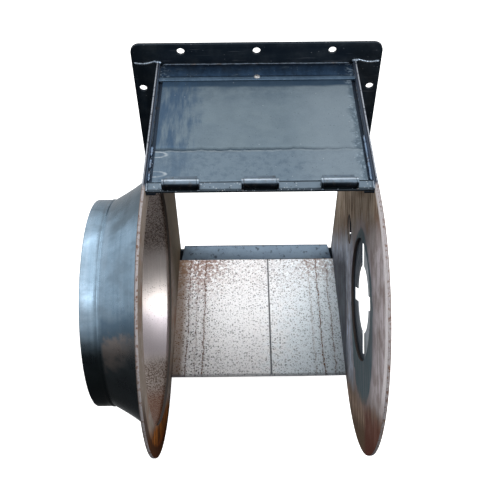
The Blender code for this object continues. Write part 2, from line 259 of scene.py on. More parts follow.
class Paint(Graph):
    """A steel finish, laid out on the piece's own coordinates."""

    def __init__(self, name):
        self.material = bpy.data.materials.new(name)
        self.material.use_nodes = True
        super().__init__(self.material.node_tree)
        self.shader = self.tree.nodes["Principled BSDF"]
        self.place = self.node("ShaderNodeTexCoord", output="Object")
        self.x = self.node("ShaderNodeSeparateXYZ", {"Vector": self.place})
        self.y = self.x.other("Y")
        self.z = self.x.other("Z")
        self.tint = None

    def mapped(self, stretch, shift):
        """The piece's coordinates, scaled by the stretch and moved."""
        return self.node("ShaderNodeMapping",
                         {"Vector": self.place, "Location": (shift, shift, shift), "Scale": stretch})

    def noise(self, size, detail=3.0, rough=0.55, stretch=(1, 1, 1), shift=0.0):
        """Noise from 0 to 1 with its main features about size across."""
        return self.node("ShaderNodeTexNoise", {"Vector": self.mapped(stretch, shift), "Scale": 1 / size,
                                                "Detail": detail, "Roughness": rough})

    def runs(self, size, long, start, end):
        """Streaks that run down the slope, stretched a given number of times."""
        place = self.node("ShaderNodeCombineXYZ",
                          {"X": self.x, "Y": self.height() / long, "Z": self.outward()})
        field = self.node("ShaderNodeTexNoise",
                          {"Vector": place, "Scale": 1 / size, "Detail": 4.0, "Roughness": 0.6})
        return self.rise(field, start, end)

    def blotches(self, size, share, soft=0.08, detail=4.0, stretch=(1, 1, 1), shift=0.0):
        """Patches of noise that cover about a share of the surface."""
        level = 0.5 + (0.5 - share) * 0.5
        field = self.noise(size, detail, 0.6, stretch, shift)
        return self.rise(field, level - soft, level + soft)

    def specks(self, size, share, reach=0.3, shift=0.0):
        """Round specks in a share of cells of this size."""
        cells = self.node("ShaderNodeTexVoronoi",
                          {"Vector": self.mapped((1, 1, 1), shift), "Scale": 1 / size})
        red = self.node("ShaderNodeSeparateColor", {"Color": cells.other("Color")})
        return self.rise(red, share + 0.01, share) * self.rise(cells, reach, reach * 0.6)

    def near(self, value, centre, half, soft):
        """1 within half of the centre, then fading to 0 over soft."""
        return self.rise(abs(value - centre), half + soft, half)

    def mix(self, share, first, second):
        """The first colour where the share is 0, the second where it is 1."""
        return self.node("ShaderNodeMix", {0: share, 6: first, 7: second}, {"data_type": "RGBA"},
                         output=2)

    def base(self, share, first, second):
        """Start the finish with a mix of two colours."""
        self.tint = self.mix(share, first, second)

    def coat(self, share, tint):
        """Lay a colour over the finish so far; the share says how thickly."""
        self.tint = self.mix(share, self.tint, tint)

    def grained(self, size, dark, detail=3, rough=0.7, stretch=(1, 1, 1)):
        """Make the finish darker and lighter by a fine grain, which is given back."""
        grain = self.noise(size, detail, rough, stretch)
        self.tint = self.node("ShaderNodeVectorMath", {0: self.tint,
                                                       "Scale": dark + grain * (2 - 2 * dark)},
                              {"operation": "SCALE"})
        return grain

    def height(self, centre=FAN):
        """How high a place lies up the slope, from a centre."""
        return (self.y - centre.y) * SLOPE_Y + (self.z - centre.z) * SLOPE_Z

    def outward(self):
        """How far a place lies out of that slope, towards the front."""
        return (self.z - FAN.z) * SLOPE_Y - (self.y - FAN.y) * SLOPE_Z

    def radius(self):
        """Distance from the fan's axis."""
        across = self.y - FAN.y
        up = self.z - FAN.z
        return (across * across + up * up) ** 0.5

    def finish(self, roughness, metallic=1.0, relief=None, depth=0.0003, shine=0.5):
        """Join the colour, a roughness, metalness and relief to the shader."""
        self.shader.inputs["Specular IOR Level"].default_value = shine
        self.tree.links.new(self.tint.socket, self.shader.inputs["Base Color"])
        for name, value in (("Roughness", roughness), ("Metallic", metallic)):
            if isinstance(value, Wire):
                self.tree.links.new(value.socket, self.shader.inputs[name])
            else:
                self.shader.inputs[name].default_value = value
        if relief is not None:
            bump = self.node("ShaderNodeBump", {"Strength": 0.6, "Distance": depth, "Height": relief})
            self.tree.links.new(bump.socket, self.shader.inputs["Normal"])
        return self.material


# ---------------------------------------------------------------- finishes

def door_finish(colours, sizes):
    """Blue grey mill scale with a crease and heat marks; a painted dark reflection along the top edge,
    painted shadow and highlight at the crease, a painted sheen and painted shade on the edges.
    """
    paint = Paint("door_mill_scale")
    paint.base(paint.noise(0.07, 2), colours.door, (0.150, 0.210, 0.265))
    paint.coat(paint.blotches(0.035, 0.4, 0.2) * 0.35, (0.24, 0.30, 0.33))
    clouds = paint.blotches(0.022, 0.40, 0.22, 6.0, shift=5.0)
    paint.coat(clouds * 0.30, (0.085, 0.125, 0.165))
    wander = paint.noise(0.018, 3, shift=0.3) - 0.5

    crease_y = DOOR_LOW.y + sizes.crease_drop
    below = paint.rise(paint.y + wander * 0.004, crease_y + 0.001, crease_y - 0.003)
    paint.coat(below * 0.65, (0.165, 0.225, 0.285))

    # painted dark reflection: a dark navy band along the top edge of the door, below the top strip
    top = paint.rise(paint.y + wander * 0.006, DOOR_HIGH.y - 0.017, DOOR_HIGH.y - 0.010)
    paint.coat(top * 0.90, (0.024, 0.056, 0.105))
    below_top = paint.rise(paint.y + wander * 0.012, DOOR_HIGH.y - 0.060, DOOR_HIGH.y - 0.012)
    paint.coat(below_top * paint.blotches(0.016, 0.5, 0.2, 5.0, shift=7.0) * 0.5, (0.060, 0.100, 0.150))
    left = paint.rise(paint.x + wander * 0.05, DOOR_LOW.x + 0.062, DOOR_LOW.x + 0.030)
    streaks = paint.blotches(0.010, 0.55, 0.16, stretch=(1, 0.16, 1))
    paint.coat(left * streaks * (1 - below * 0.45) * 0.85, (0.042, 0.088, 0.160))
    dapple = paint.blotches(0.009, 0.35, 0.14, 5.0, shift=9.0)
    paint.coat(below * dapple * 0.45, (0.075, 0.115, 0.165))
    right = paint.rise(paint.x + wander * 0.03, DOOR_HIGH.x - 0.012, DOOR_HIGH.x - 0.003)
    paint.coat(right * 0.6, (0.085, 0.125, 0.165))
    pale = paint.rise(paint.x + wander * 0.02, DOOR_HIGH.x - 0.016, DOOR_HIGH.x - 0.005)
    paint.coat(pale * paint.blotches(0.004, 0.35, 0.10, shift=11.0) * 0.6, (0.40, 0.50, 0.60))
    # painted sheen: lighter towards the drive side, kept off the right edge and the top band
    sheen = paint.rise(paint.x + wander * 0.03, 0.030, 0.085) * (1 - right) * (1 - top)
    paint.coat(sheen * 0.5, (0.26, 0.32, 0.37))

    # the crease: a painted shadow over it, a darker painted shadow line along its bottom and a painted
    # highlight on the swell below it, over the real groove in the door's relief
    line_y = crease_y + (paint.noise(0.03, 4, 0.6, stretch=(1, 0, 0)) - 0.5) * 0.012
    strength = paint.rise(paint.x, DOOR_HIGH.x - 0.02, DOOR_LOW.x + 0.12) * 0.60 + 0.35
    broken = paint.blotches(0.008, 0.60, 0.20, shift=6.0)
    shadow = paint.rise(abs(paint.y - line_y), 0.0046, 0.0010) * strength * 0.55
    paint.coat(shadow, (0.060, 0.085, 0.105))
    line = paint.rise(abs(paint.y - line_y + 0.0010), 0.0014, 0.0004) * strength
    paint.coat(line * (0.35 + broken * 0.6), (0.026, 0.048, 0.072))
    crease_highlight = paint.rise(abs(paint.y - line_y + 0.0042), 0.0018, 0.0005) * strength * broken
    paint.coat(crease_highlight * 0.5, (0.34, 0.39, 0.42))

    # pale hooked weld marks, low on the left
    for above in (0.014, 0.049):
        across = (paint.x - DOOR_LOW.x) / 0.015
        up = (paint.y - (DOOR_LOW.y + above)) / 0.005
        reach = (across * across + up * up) ** 0.5 + wander * 0.5
        hook = paint.near(reach, 1.0, 0.04, 0.20) * paint.blotches(0.006, 0.60, 0.2)
        paint.coat(hook * 0.55, (0.60, 0.66, 0.70))

    paint.coat(paint.specks(0.0065, 0.05, 0.13) * 0.6, (0.48, 0.54, 0.58))
    paint.coat(paint.specks(0.004, 0.18, 0.2, 3.0) * 0.55, (0.06, 0.09, 0.12))
    grain = paint.grained(0.0016, 0.82)
    # painted shade on the door's edges and underside, everything below its top face
    lower = paint.rise(paint.z, FACE - 0.0012, FACE - 0.0020)
    paint.coat(lower, (0.05, 0.06, 0.07))
    roughness = 0.34 + paint.noise(0.012, 3) * 0.16 - below * 0.05
    relief = grain * 0.4 + paint.noise(0.02, 2) * 1.5
    return paint.finish(roughness, 0.95, relief, 0.00025)


def strip_finish(colours, sizes):
    """Dark blue heat scale with streaks, a painted light band along the raised free edge and a painted
    shadow line at its step.
    """
    paint = Paint("top_strip_blue_scale")
    wander = paint.noise(0.012, 3) - 0.5
    streaks = paint.noise(0.006, 4, 0.65, stretch=(1, 0.25, 1))
    paint.base(streaks, (0.010, 0.024, 0.052), (0.075, 0.150, 0.270))
    paint.coat(paint.blotches(0.03, 0.3, 0.15) * 0.6, (0.055, 0.080, 0.110))
    line = STRIP_LOW.y + sizes.band_width
    # painted light: the raised band along the free edge is painted lighter, as if it catches more light
    band = paint.rise(paint.y + wander * 0.003, line + 0.001, line - 0.0015)
    rubbed = paint.mix(paint.noise(0.01, 4, 0.7, stretch=(1, 0.5, 1)), (0.040, 0.080, 0.135),
                       (0.155, 0.235, 0.330))
    paint.coat(band, rubbed)
    # painted shadow: a thin dark line at the foot of the band's step
    paint.coat(paint.near(paint.y, line + 0.0014, 0.0003, 0.0008) * 0.7, (0.006, 0.010, 0.016))
    near_flange = paint.rise(paint.y + wander * 0.003, STRIP_HIGH.y - 0.010, STRIP_HIGH.y)
    paint.coat(near_flange * 0.75, (0.010, 0.014, 0.020))
    ends = paint.rise(abs(paint.x) + wander * 0.02, STRIP_HIGH.x - 0.014, STRIP_HIGH.x - 0.004)
    paint.coat(ends * paint.blotches(0.0035, 0.40, 0.10) * 0.8, (0.42, 0.54, 0.66))
    smudges = paint.blotches(0.014, 0.20, 0.10, 5.0, stretch=(0.5, 1, 1), shift=8.0)
    paint.coat(smudges * 0.55, (0.17, 0.24, 0.32))
    paint.coat(paint.specks(0.004, 0.22, 0.2) * 0.6, (0.30, 0.36, 0.42))
    grain = paint.grained(0.0015, 0.75)
    return paint.finish(0.36 + streaks * 0.15, 0.9, grain, 0.0002)


def sill_finish(colours):
    """Speckled grey blue scale, with painted shade along its lower edge and in the gap under the door."""
    paint = Paint("hinge_strip_mill_scale")
    wander = paint.noise(0.008, 3) - 0.5
    paint.base(paint.noise(0.012, 4, 0.7), colours.sill, (0.15, 0.20, 0.25))
    paint.coat(paint.specks(0.0035, 0.35, 0.3) * 0.7, (0.52, 0.58, 0.62))
    paint.coat(paint.specks(0.004, 0.3, 0.3, 2.0) * 0.8, (0.035, 0.045, 0.06))
    # painted shade along the lower edge, where the strip turns down
    low = paint.rise(paint.y + wander * 0.003, SILL_LOW.y + 0.005, SILL_LOW.y + 0.0025)
    paint.coat(low * 0.85, (0.025, 0.035, 0.045))
    # painted shade along the upper edge, in the gap below the door
    high = paint.rise(paint.y, SILL_HIGH.y - 0.002, SILL_HIGH.y - 0.0006)
    paint.coat(high * 0.7, (0.03, 0.04, 0.05))
    grain = paint.grained(0.0015, 0.75)
    return paint.finish(0.36 + grain * 0.15, 0.95, grain)


def hinge_finish(colours):
    """Rubbed steel with grime spots, a painted highlight along the top of each barrel and painted shade
    over its lower part.
    """
    paint = Paint("hinge_rubbed_steel")
    paint.base(paint.noise(0.006, 4, 0.65), colours.hinge, (0.10, 0.13, 0.17))
    up = paint.height(HINGE) + (paint.noise(0.004) - 0.5) * 0.001
    # painted highlight along the top of each barrel
    paint.coat(paint.near(up, 0.0038, 0.0006, 0.0010) * 0.7, (0.62, 0.72, 0.82))
    # painted shade over the lower part of each barrel
    paint.coat(paint.rise(up, 0.0006, -0.0020) * 0.95, (0.010, 0.015, 0.022))
    paint.coat(paint.blotches(0.005, 0.25, 0.1) * 0.5, (0.10, 0.09, 0.08))
    grain = paint.grained(0.0012, 0.8)
    return paint.finish(0.40 + grain * 0.15, 1.0, grain, 0.0002)


def flange_finish(colours):
    """Near black scale with faint scratches and dust."""
    paint = Paint("flange_black_scale")
    paint.base(paint.noise(0.03, 4, 0.6), colours.flange, (0.022, 0.032, 0.044))
    dusty = paint.blotches(0.022, 0.3, 0.2, 5.0)
    paint.coat(dusty * 0.5, (0.050, 0.060, 0.070))
    scratches = paint.rise(paint.noise(0.004, 2, 0.5, stretch=(0.08, 1, 1)), 0.66, 0.74)
    paint.coat(scratches * 0.35, (0.14, 0.15, 0.17))
    paint.coat(paint.specks(0.005, 0.2, 0.18) * 0.6, (0.22, 0.23, 0.25))
    grain = paint.grained(0.0014, 0.7)
    return paint.finish(0.40 + dusty * 0.15, 0.6, grain, shine=0.12)


def spun_finish(colours):
    """Outside of the inlet: spun steel banded round the axis, with painted shade towards the top and
    below.
    """
    paint = Paint("inlet_spun_steel")
    turned = paint.noise(0.0022, 4, 0.7, stretch=(1, 0.02, 0.02))
    broad = paint.noise(0.009, 2, 0.5, stretch=(1, 0.03, 0.03), shift=1.0)
    smear = paint.blotches(0.040, 0.40, 0.15, 5.0)
    paint.base(turned, (0.26, 0.38, 0.49), colours.spun)
    paint.coat(paint.rise(broad, 0.45, 0.70) * 0.35, (0.52, 0.66, 0.80))
    paint.coat(paint.rise(broad, 0.45, 0.30) * 0.50, (0.13, 0.20, 0.27))
    on_cone = paint.rise(paint.x, CONE_LOW.x - 0.001, CONE_LOW.x + 0.004)
    paint.coat(on_cone * 0.20, (0.17, 0.28, 0.40))
    paint.coat(smear * 0.45, (0.15, 0.19, 0.23))
    wiped = paint.blotches(0.016, 0.35, 0.14, 5.0, stretch=(0.4, 1, 1), shift=12.0)
    paint.coat(wiped * 0.35, (0.11, 0.17, 0.23))
    joint = paint.near(paint.x, SPIGOT_HIGH.x - 0.0040, 0.0006, 0.0030)
    paint.coat(joint * paint.blotches(0.02, 0.5, 0.2) * 0.35, (0.08, 0.11, 0.14))

    # painted shade towards the top, a band of painted shade lower down, and dark painted shade below
    fall = paint.height() + (smear - 0.5) * 0.02
    shadow = paint.rise(fall + paint.x * 0.35, 0.020, 0.060)
    paint.coat(shadow * (0.30 + on_cone * 0.35), (0.10, 0.14, 0.17))
    # painted shade: a darker band between the lit middle and the dark underside
    painted_shade_band = paint.near(fall, -0.028, 0.008, 0.020)
    paint.coat(painted_shade_band * (0.25 + on_cone * 0.45), (0.10, 0.17, 0.25))
    # painted shade: the lower side of the spigot and cone is painted dark
    low = paint.rise(fall - on_cone * 0.004 + 0.004, -0.016, -0.072)
    painted_shade_tint = paint.mix(on_cone, (0.060, 0.076, 0.080), (0.165, 0.195, 0.215))
    paint.coat(low * 0.88, painted_shade_tint)
    neck = paint.rise(paint.x + (smear - 0.5) * 0.02, CONE_HIGH.x - 0.012, CONE_HIGH.x - 0.034)
    patch = paint.near(fall, -0.050, 0.005, 0.018) * on_cone * (0.35 + neck * 0.5)
    paint.coat(patch * 0.80, (0.54, 0.45, 0.41))
    # a little less of the painted shade at the foot of the cone
    foot = paint.rise(paint.x + (smear - 0.5) * 0.01, CONE_HIGH.x - 0.022, CONE_HIGH.x - 0.006)
    paint.coat(foot * low * 0.5, (0.16, 0.20, 0.23))

    paint.grained(0.0015, 0.85)
    return paint.finish(0.24 + smear * 0.10 + turned * 0.06, 1.0, turned, 0.0002)


def lining_finish(colours):
    """Inside of the inlet: streaked along the spinning marks, mottled and pitted brown."""
    paint = Paint("inlet_lining_steel")
    paint.base(paint.noise(0.02, 5, 0.65), colours.lining, (0.62, 0.56, 0.54))
    turned = paint.grained(0.0030, 0.8, 4, stretch=(1, 0.03, 0.03))
    fall = paint.height()
    mauve = paint.near(fall, -0.058, 0.020, 0.03)
    paint.coat(mauve * 0.6, (0.46, 0.42, 0.49))
    brown = paint.rise(fall, 0.055, 0.090) * 0.80 + paint.rise(fall, -0.085, -0.110) * 0.85
    paint.coat(brown * 0.55, (0.30, 0.22, 0.17))
    paint.coat(brown * paint.blotches(0.0022, 0.50, 0.08, 3.0), (0.10, 0.062, 0.045))
    lit = paint.near(fall, -0.012, 0.022, 0.02)
    pits = paint.specks(0.0026, 0.42, 0.34) * (brown * 0.7 + lit * 0.5 + 0.05)
    paint.coat(pits, (0.085, 0.050, 0.035))
    paint.coat(paint.rise(fall, -0.125, -0.150) * 0.7, colours.rust)
    grain = paint.grained(0.0016, 0.8, 4, 0.75)
    return paint.finish(0.30 + grain * 0.16, 0.6, grain * (0.4 + brown) + turned * 0.4)


def plate_base(paint, colours):
    """Grey brown pitted steel, shared by both side plates."""
    paint.base(paint.noise(0.03, 5, 0.65), colours.plate, (0.17, 0.135, 0.11))
    paint.coat(paint.blotches(0.012, 0.3, 0.12) * 0.5, (0.36, 0.33, 0.33))
    paint.coat(paint.specks(0.0032, 0.35, 0.3) * 0.6, (0.08, 0.050, 0.038))
    paint.coat(paint.blotches(0.05, 0.3, 0.1, 5.0, shift=2.0) * 0.45, colours.rust)


def plate_edges(paint, colours):
    """The cut edges of a plate: pitted round the fan, scaled and burnt beside the door."""
    from_middle = abs(abs(paint.x) - (INNER + OUTER) / 2)
    cut = paint.rise(from_middle, 0.0019, 0.0016)
    hole = paint.rise(paint.radius(), 0.174, 0.170)
    beside = paint.rise(paint.y, HINGE.y - 0.006, HINGE.y + 0.002)
    pitted = paint.mix(paint.blotches(0.004, 0.35, 0.1), colours.edge, (0.17, 0.105, 0.08))
    brink = paint.rise(abs(paint.x), OUTER - 0.0013, OUTER - 0.0006)
    pitted = paint.mix(brink * 0.7, pitted, (0.10, 0.065, 0.050))
    outer = paint.rise(abs(paint.x), OUTER - 0.0022, OUTER - 0.0014)
    share = outer * paint.blotches(0.004, 0.70, 0.10) * 0.9
    scaled = paint.mix(share, (0.030, 0.036, 0.050), (0.40, 0.43, 0.48))
    worn = paint.mix(beside, pitted, scaled)
    worn = paint.mix(hole, worn, (0.075, 0.065, 0.060))
    burnt = paint.rise(paint.z, FACE - 0.008, FACE - 0.003) * paint.rise(
        paint.y, HINGE.y - 0.008, HINGE.y)
    blue = paint.mix(paint.noise(0.005, 4, 0.7), (0.014, 0.022, 0.036), (0.13, 0.19, 0.28))
    paint.coat(burnt * 0.95, blue)
    paint.coat(cut, worn)


def inlet_plate_finish(colours):
    """Grey brown plate, orange with rust at its low end."""
    paint = Paint("inlet_plate_steel")
    plate_base(paint, colours)
    fall = paint.height() + (paint.noise(0.03, 4) - 0.5) * 0.02
    tip = paint.rise(fall, -0.140, -0.165)
    rusty = paint.mix(paint.runs(0.006, 6, 0.40, 0.62), (0.060, 0.022, 0.008), (0.32, 0.105, 0.016))
    rusty = paint.mix(paint.rise(fall, -0.176, -0.190) * 0.6, rusty, (0.16, 0.028, 0.006))
    paint.coat(tip * 0.95, rusty)
    rim = paint.rise(paint.radius(), 0.186, 0.192) * paint.rise(fall, -0.08, -0.13)
    paint.coat(rim * 0.85, (0.045, 0.022, 0.014))
    outlet = paint.rise(paint.y, FAN.y + 0.13, FAN.y + 0.19)
    paint.coat(outlet * 0.75, (0.115, 0.090, 0.055))
    plate_edges(paint, colours)
    grain = paint.grained(0.0018, 0.75, 4, 0.75)
    return paint.finish(0.46 + grain * 0.2, 0.3 - tip * 0.3, grain, 0.0004, shine=0.0)


def drive_plate_finish(colours):
    """Grey brown plate with painted reflections in a band across its inner face, darker on the far part
    of that face, a dark blue green ring round the drive opening, brown low down and a painted highlight
    along the near rim.
    """
    paint = Paint("drive_plate_steel")
    plate_base(paint, colours)
    wander = paint.noise(0.03, 4) - 0.5
    fall = paint.height() + wander * 0.03
    out = paint.outward() + wander * 0.02
    streaks = paint.runs(0.006, 8, 0.36, 0.62)
    patches = paint.blotches(0.025, 0.45, 0.10, 5.0, shift=3.0)
    inner = paint.rise(paint.x, OUTER - 0.001, INNER + 0.001) * 0.75 + 0.25

    # painted reflections: a pale band across the middle of the inner face, pinkish white on the near side
    middle = paint.rise(fall, -0.150, -0.100) * paint.rise(fall, 0.110, 0.060) * inner
    near = middle * paint.rise(out, 0.060, 0.090)
    paint.coat(near * (0.40 + streaks * 0.5), (0.72, 0.67, 0.72))
    paint.coat(near * patches * 0.55, (0.24, 0.18, 0.16))
    # painted reflection: blue white on the far side of the same band
    left = middle * paint.rise(out, -0.045, -0.080)
    paint.coat(left * (0.30 + streaks * 0.7), (0.62, 0.72, 0.88))
    paint.coat(left * patches * 0.6, (0.16, 0.17, 0.22))
    far = paint.rise(out, -0.120, -0.145) * paint.rise(fall, 0.075, 0.040) * inner
    paint.coat(far * 0.85, (0.030, 0.034, 0.045))

    across = fall + 0.024
    side = out - 0.010
    reach = (across * across * 0.80 + side * side * 1.25) ** 0.5
    paint.coat(paint.rise(reach, 0.128, 0.106) * 0.45, (0.36, 0.34, 0.39))
    paint.coat(paint.rise(reach, 0.106, 0.101) * (0.65 + streaks * 0.3) * inner, (0.070, 0.128, 0.155))

    tip = paint.rise(fall, -0.120, -0.155) * inner
    paint.coat(tip * 0.85, (0.12, 0.068, 0.035))
    paint.coat(tip * streaks * paint.rise(fall, -0.180, -0.155) * 0.85, (0.50, 0.36, 0.28))
    paint.coat(tip * paint.rise(out, 0.015, 0.045) * 0.75, (0.12, 0.028, 0.020))
    high = paint.rise(fall, 0.085, 0.135) * inner
    tan = paint.mix(streaks, (0.14, 0.090, 0.050), (0.62, 0.50, 0.38))
    paint.coat(high * 0.8, tan)
    spot = paint.near(fall, 0.160, 0.012, 0.018) * paint.near(out, 0.030, 0.020, 0.03)
    paint.coat(spot * 0.8, (0.12, 0.055, 0.020))

    # painted highlight: a bright line along the near part of the rim, on the inner face
    rim = paint.rise(paint.radius(), 0.184, 0.188) * paint.rise(out, -0.01, 0.03) * inner
    paint.coat(rim * paint.rise(fall, -0.135, -0.090) * 0.8, (0.95, 0.92, 0.95))
    plate_edges(paint, colours)
    grain = paint.grained(0.0018, 0.65, 4, 0.75)
    return paint.finish(0.48 + grain * 0.2, 0.18, grain, 0.0004, shine=0.02)


def ring_finish(colours):
    """Dark steel, with painted light on its near side, and rubbed round the centre hole."""
    paint = Paint("drive_ring_steel")
    paint.base(paint.noise(0.02, 5, 0.65), colours.ring, (0.032, 0.050, 0.072))
    # painted light: the near side of the ring is painted lighter, the far side is left dark as shade
    painted_light_near_side = paint.rise(paint.outward(), 0.0, 0.03)
    paint.coat(painted_light_near_side * 0.9, (0.52, 0.57, 0.62))
    paint.coat(paint.blotches(0.01, 0.25, 0.1) * 0.4, (0.11, 0.12, 0.11))
    rub = paint.near(paint.radius(), 0.0470, 0.0012, 0.002)
    paint.coat(rub * 0.6, (0.30, 0.32, 0.34))
    grain = paint.grained(0.0015, 0.75)
    return paint.finish(0.42 + grain * 0.15, 0.7, grain, shine=0.2)


def sheet_finish(colours):
    """Bright rough steel with brown stains along its dotted weld lines."""
    paint = Paint("back_sheet_rough_steel")
    wander = paint.noise(0.01, 4) - 0.5
    cool = paint.rise(paint.x + wander * 0.10, -0.010, 0.080)
    paint.base(paint.noise(0.05, 3), colours.sheet, (0.94, 0.95, 0.97))
    paint.coat(cool * 0.7, (0.86, 0.94, 1.0))
    rough = paint.noise(0.0024, 4, 0.75)
    left = paint.rise(paint.x + wander * 0.04, -0.040, -0.105)
    high = paint.rise(paint.y + wander * 0.05, -0.150, -0.050)
    right = paint.rise(paint.x - paint.y * 0.4 + wander * 0.06, 0.09, 0.17)
    busy = 0.60 + left * 0.30 + high * 0.25 + right * 0.30
    pits = paint.rise(rough, 0.45, 0.41)
    paint.coat(pits * busy, (0.13, 0.13, 0.15))
    paint.coat(paint.specks(0.0038, 0.44, 0.42) * busy, (0.030, 0.028, 0.035))
    paint.coat(paint.specks(0.0056, 0.20, 0.36, 8.0) * (busy - 0.35), (0.030, 0.028, 0.035))
    paint.coat(paint.specks(0.0050, 0.16, 0.22, 4.0) * 0.7, (0.13, 0.075, 0.055))

    pink = paint.blotches(0.005, 0.50, 0.12)
    top = paint.rise(paint.y + wander * 0.03, SHEET_HIGH.y - 0.060, SHEET_HIGH.y - 0.015)
    sides = paint.rise(abs(paint.x - 0.010) + wander * 0.06, 0.050, 0.095)
    paint.coat((left * (high * 0.6 + 0.15) + high * 0.25) * pink, (0.36, 0.25, 0.23))
    paint.coat(top * sides * pink * 0.85, (0.25, 0.155, 0.125))
    band = paint.rise(paint.x + wander * 0.012, -0.114, -0.126)
    paint.coat(band * 0.75, (0.24, 0.15, 0.095))
    paint.coat(right * 0.35, (0.78, 0.92, 1.0))

    for line, share in ((-0.0885, 0.95), (-0.1010, 0.40), (-0.1150, 0.75), (0.0900, 0.35),
                        (0.1030, 0.85), (0.1210, 0.60)):
        dots = paint.blotches(0.004, 0.60, 0.08, 3.0, shift=line * 40)
        centre = line + (paint.noise(0.020, 4, 0.6, shift=line * 9) - 0.5) * 0.010
        mark = paint.rise(abs(paint.x - centre), 0.0013, 0.0005)
        halo = paint.rise(abs(paint.x - centre), 0.006, 0.001) * 0.16
        paint.coat((mark * dots + halo) * share, colours.stain)
    seam = paint.rise(abs(paint.x - SHEET_HIGH.x) + wander * 0.001, 0.0022, 0.0008)
    paint.coat(seam * 0.7, (0.08, 0.085, 0.095))
    edge = paint.rise(paint.y + wander * 0.004, SHEET_LOW.y + 0.006, SHEET_LOW.y + 0.001)
    paint.coat(edge * 0.6, (0.16, 0.17, 0.19))
    return paint.finish(0.24 + rough * 0.16, 1.0, rough, 0.0007)


def lip_finish():
    """Blue grey scale with a dark far edge."""
    paint = Paint("lip_blue_grey_scale")
    paint.base(paint.noise(0.02, 4, 0.6), (0.25, 0.33, 0.42), (0.16, 0.22, 0.29))
    paint.coat(paint.blotches(0.008, 0.25, 0.08) * 0.8, (0.035, 0.045, 0.055))
    far = paint.rise(paint.y, LIP_HIGH.y - 0.004, LIP_HIGH.y - 0.0005)
    paint.coat(far * 0.85, (0.025, 0.032, 0.040))
    grain = paint.grained(0.0016, 0.75)
    return paint.finish(0.38 + grain * 0.15, 0.95, grain)


def weld_finish(name, tint, dark):
    """Weld metal with heat colours and a little scale between the ripples."""
    paint = Paint(name)
    paint.base(paint.noise(0.02, 3), tint, (0.24, 0.32, 0.42))
    paint.coat(paint.blotches(0.006, dark, 0.15) * 0.8, (0.06, 0.065, 0.075))
    paint.coat(paint.blotches(0.012, 0.2, 0.1, shift=4.0) * 0.4, (0.34, 0.22, 0.12))
    grain = paint.grained(0.0009, 0.8, 2, 0.55)
    return paint.finish(0.28 + grain * 0.2, 1.0, grain, 0.0002)


def scale_finish(name, tint):
    """Plain mill scale for small or hidden pieces."""
    paint = Paint(name)
    paint.base(paint.noise(0.02, 5, 0.65), tint, tuple(share * 0.55 for share in tint))
    paint.coat(paint.blotches(0.006, 0.2, 0.1) * 0.5, (0.10, 0.065, 0.04))
    grain = paint.grained(0.0014, 0.8)
    return paint.finish(0.36 + grain * 0.15, 0.95, grain)


# ---------------------------------------------------------------- pieces

def add_piece(name, mesh, finish, body="housing", nodes=()):
    """Put a finished mesh in the scene, riding on a body and standing for some CAD nodes."""
    mesh.materials.clear()
    mesh.materials.append(finish)
    piece = bpy.data.objects.new(name, mesh)
    bpy.context.scene.collection.objects.link(piece)
    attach(piece, body)
    if nodes:
        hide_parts(*nodes)
    return piece


def smooth_mesh(name, shape):
    """Turn a finished shape into a mesh with smooth faces."""
    for face in shape.faces:
        face.smooth = True
    mesh = bpy.data.meshes.new(name)
    shape.to_mesh(mesh)
    shape.free()
    return mesh


def softened(name, node, finish, edge, body="housing"):
    """A copy of a CAD node with its flat faces joined and its edges rounded."""
    shape = bmesh.new()
    shape.from_mesh(frame["nodes"][node].data)
    bmesh.ops.remove_doubles(shape, verts=shape.verts, dist=MERGE)
    bmesh.ops.dissolve_limit(shape, angle_limit=FLAT_ANGLE, verts=shape.verts, edges=shape.edges)
    piece = add_piece(name, smooth_mesh(name, shape), finish, body, (node,))
    bevel = piece.modifiers.new("rounded", "BEVEL")
    bevel.width = edge
    bevel.segments = 2
    bevel.limit_method = "ANGLE"
    bevel.angle_limit = BEVEL_ANGLE
    bevel.harden_normals = True
    return piece


def spread(low, high, count, edge):
    """Places from low to high, closer together where the edges are rounded."""
    rounding = (0, 0.08, 0.3, 0.6)
    middle = [low + edge + (high - low - 2 * edge) * step / count for step in range(count + 1)]
    return ([low + edge * share for share in rounding] + middle
            + [high - edge * share for share in reversed(rounding)])


def edge_drop(x, y, low, high, edge):
    """How far a rounded edge lies below the face of its sheet."""
    inset = min(x - low.x, high.x - x, y - low.y, high.y - y)
    if inset >= edge:
        return 0.0
    return edge - math.sqrt(max(edge ** 2 - (edge - inset) ** 2, 0))


def pressed_sheet(low, high, columns, rows, edge, relief):
    """A closed sheet between two corners; relief is added to its upper face."""
    across = spread(low.x, high.x, columns, edge)
    along = spread(low.y, high.y, rows, edge)
    shape = bmesh.new()
    upper = []
    lower = []
    for x in across:
        drops = [edge_drop(x, y, low, high, edge) for y in along]
        upper.append([shape.verts.new((x, y, high.z - drop + relief(x, y)))
                      for y, drop in zip(along, drops)])
        lower.append([shape.verts.new((x, y, low.z + drop)) for y, drop in zip(along, drops)])
    for i in range(len(across) - 1):
        for j in range(len(along) - 1):
            shape.faces.new((upper[i][j], upper[i + 1][j], upper[i + 1][j + 1], upper[i][j + 1]))
            shape.faces.new((lower[i][j], lower[i][j + 1], lower[i + 1][j + 1], lower[i + 1][j]))
    last, end = len(across) - 1, len(along) - 1
    rim = [(i, 0) for i in range(last)] + [(last, j) for j in range(end)]
    rim += [(i, end) for i in range(last, 0, -1)] + [(0, j) for j in range(end, 0, -1)]
    for (i, j), (m, n) in zip(rim, rim[1:] + rim[:1]):
        shape.faces.new((lower[i][j], lower[m][n], upper[m][n], upper[i][j]))
    return smooth_mesh("sheet", shape)


def bump(distance, reach):
    """A smooth bump of height 1 that fades over a reach."""
    return math.exp(-(distance / reach) ** 2)


# ---------------------------------------------------------------- geometry nodes

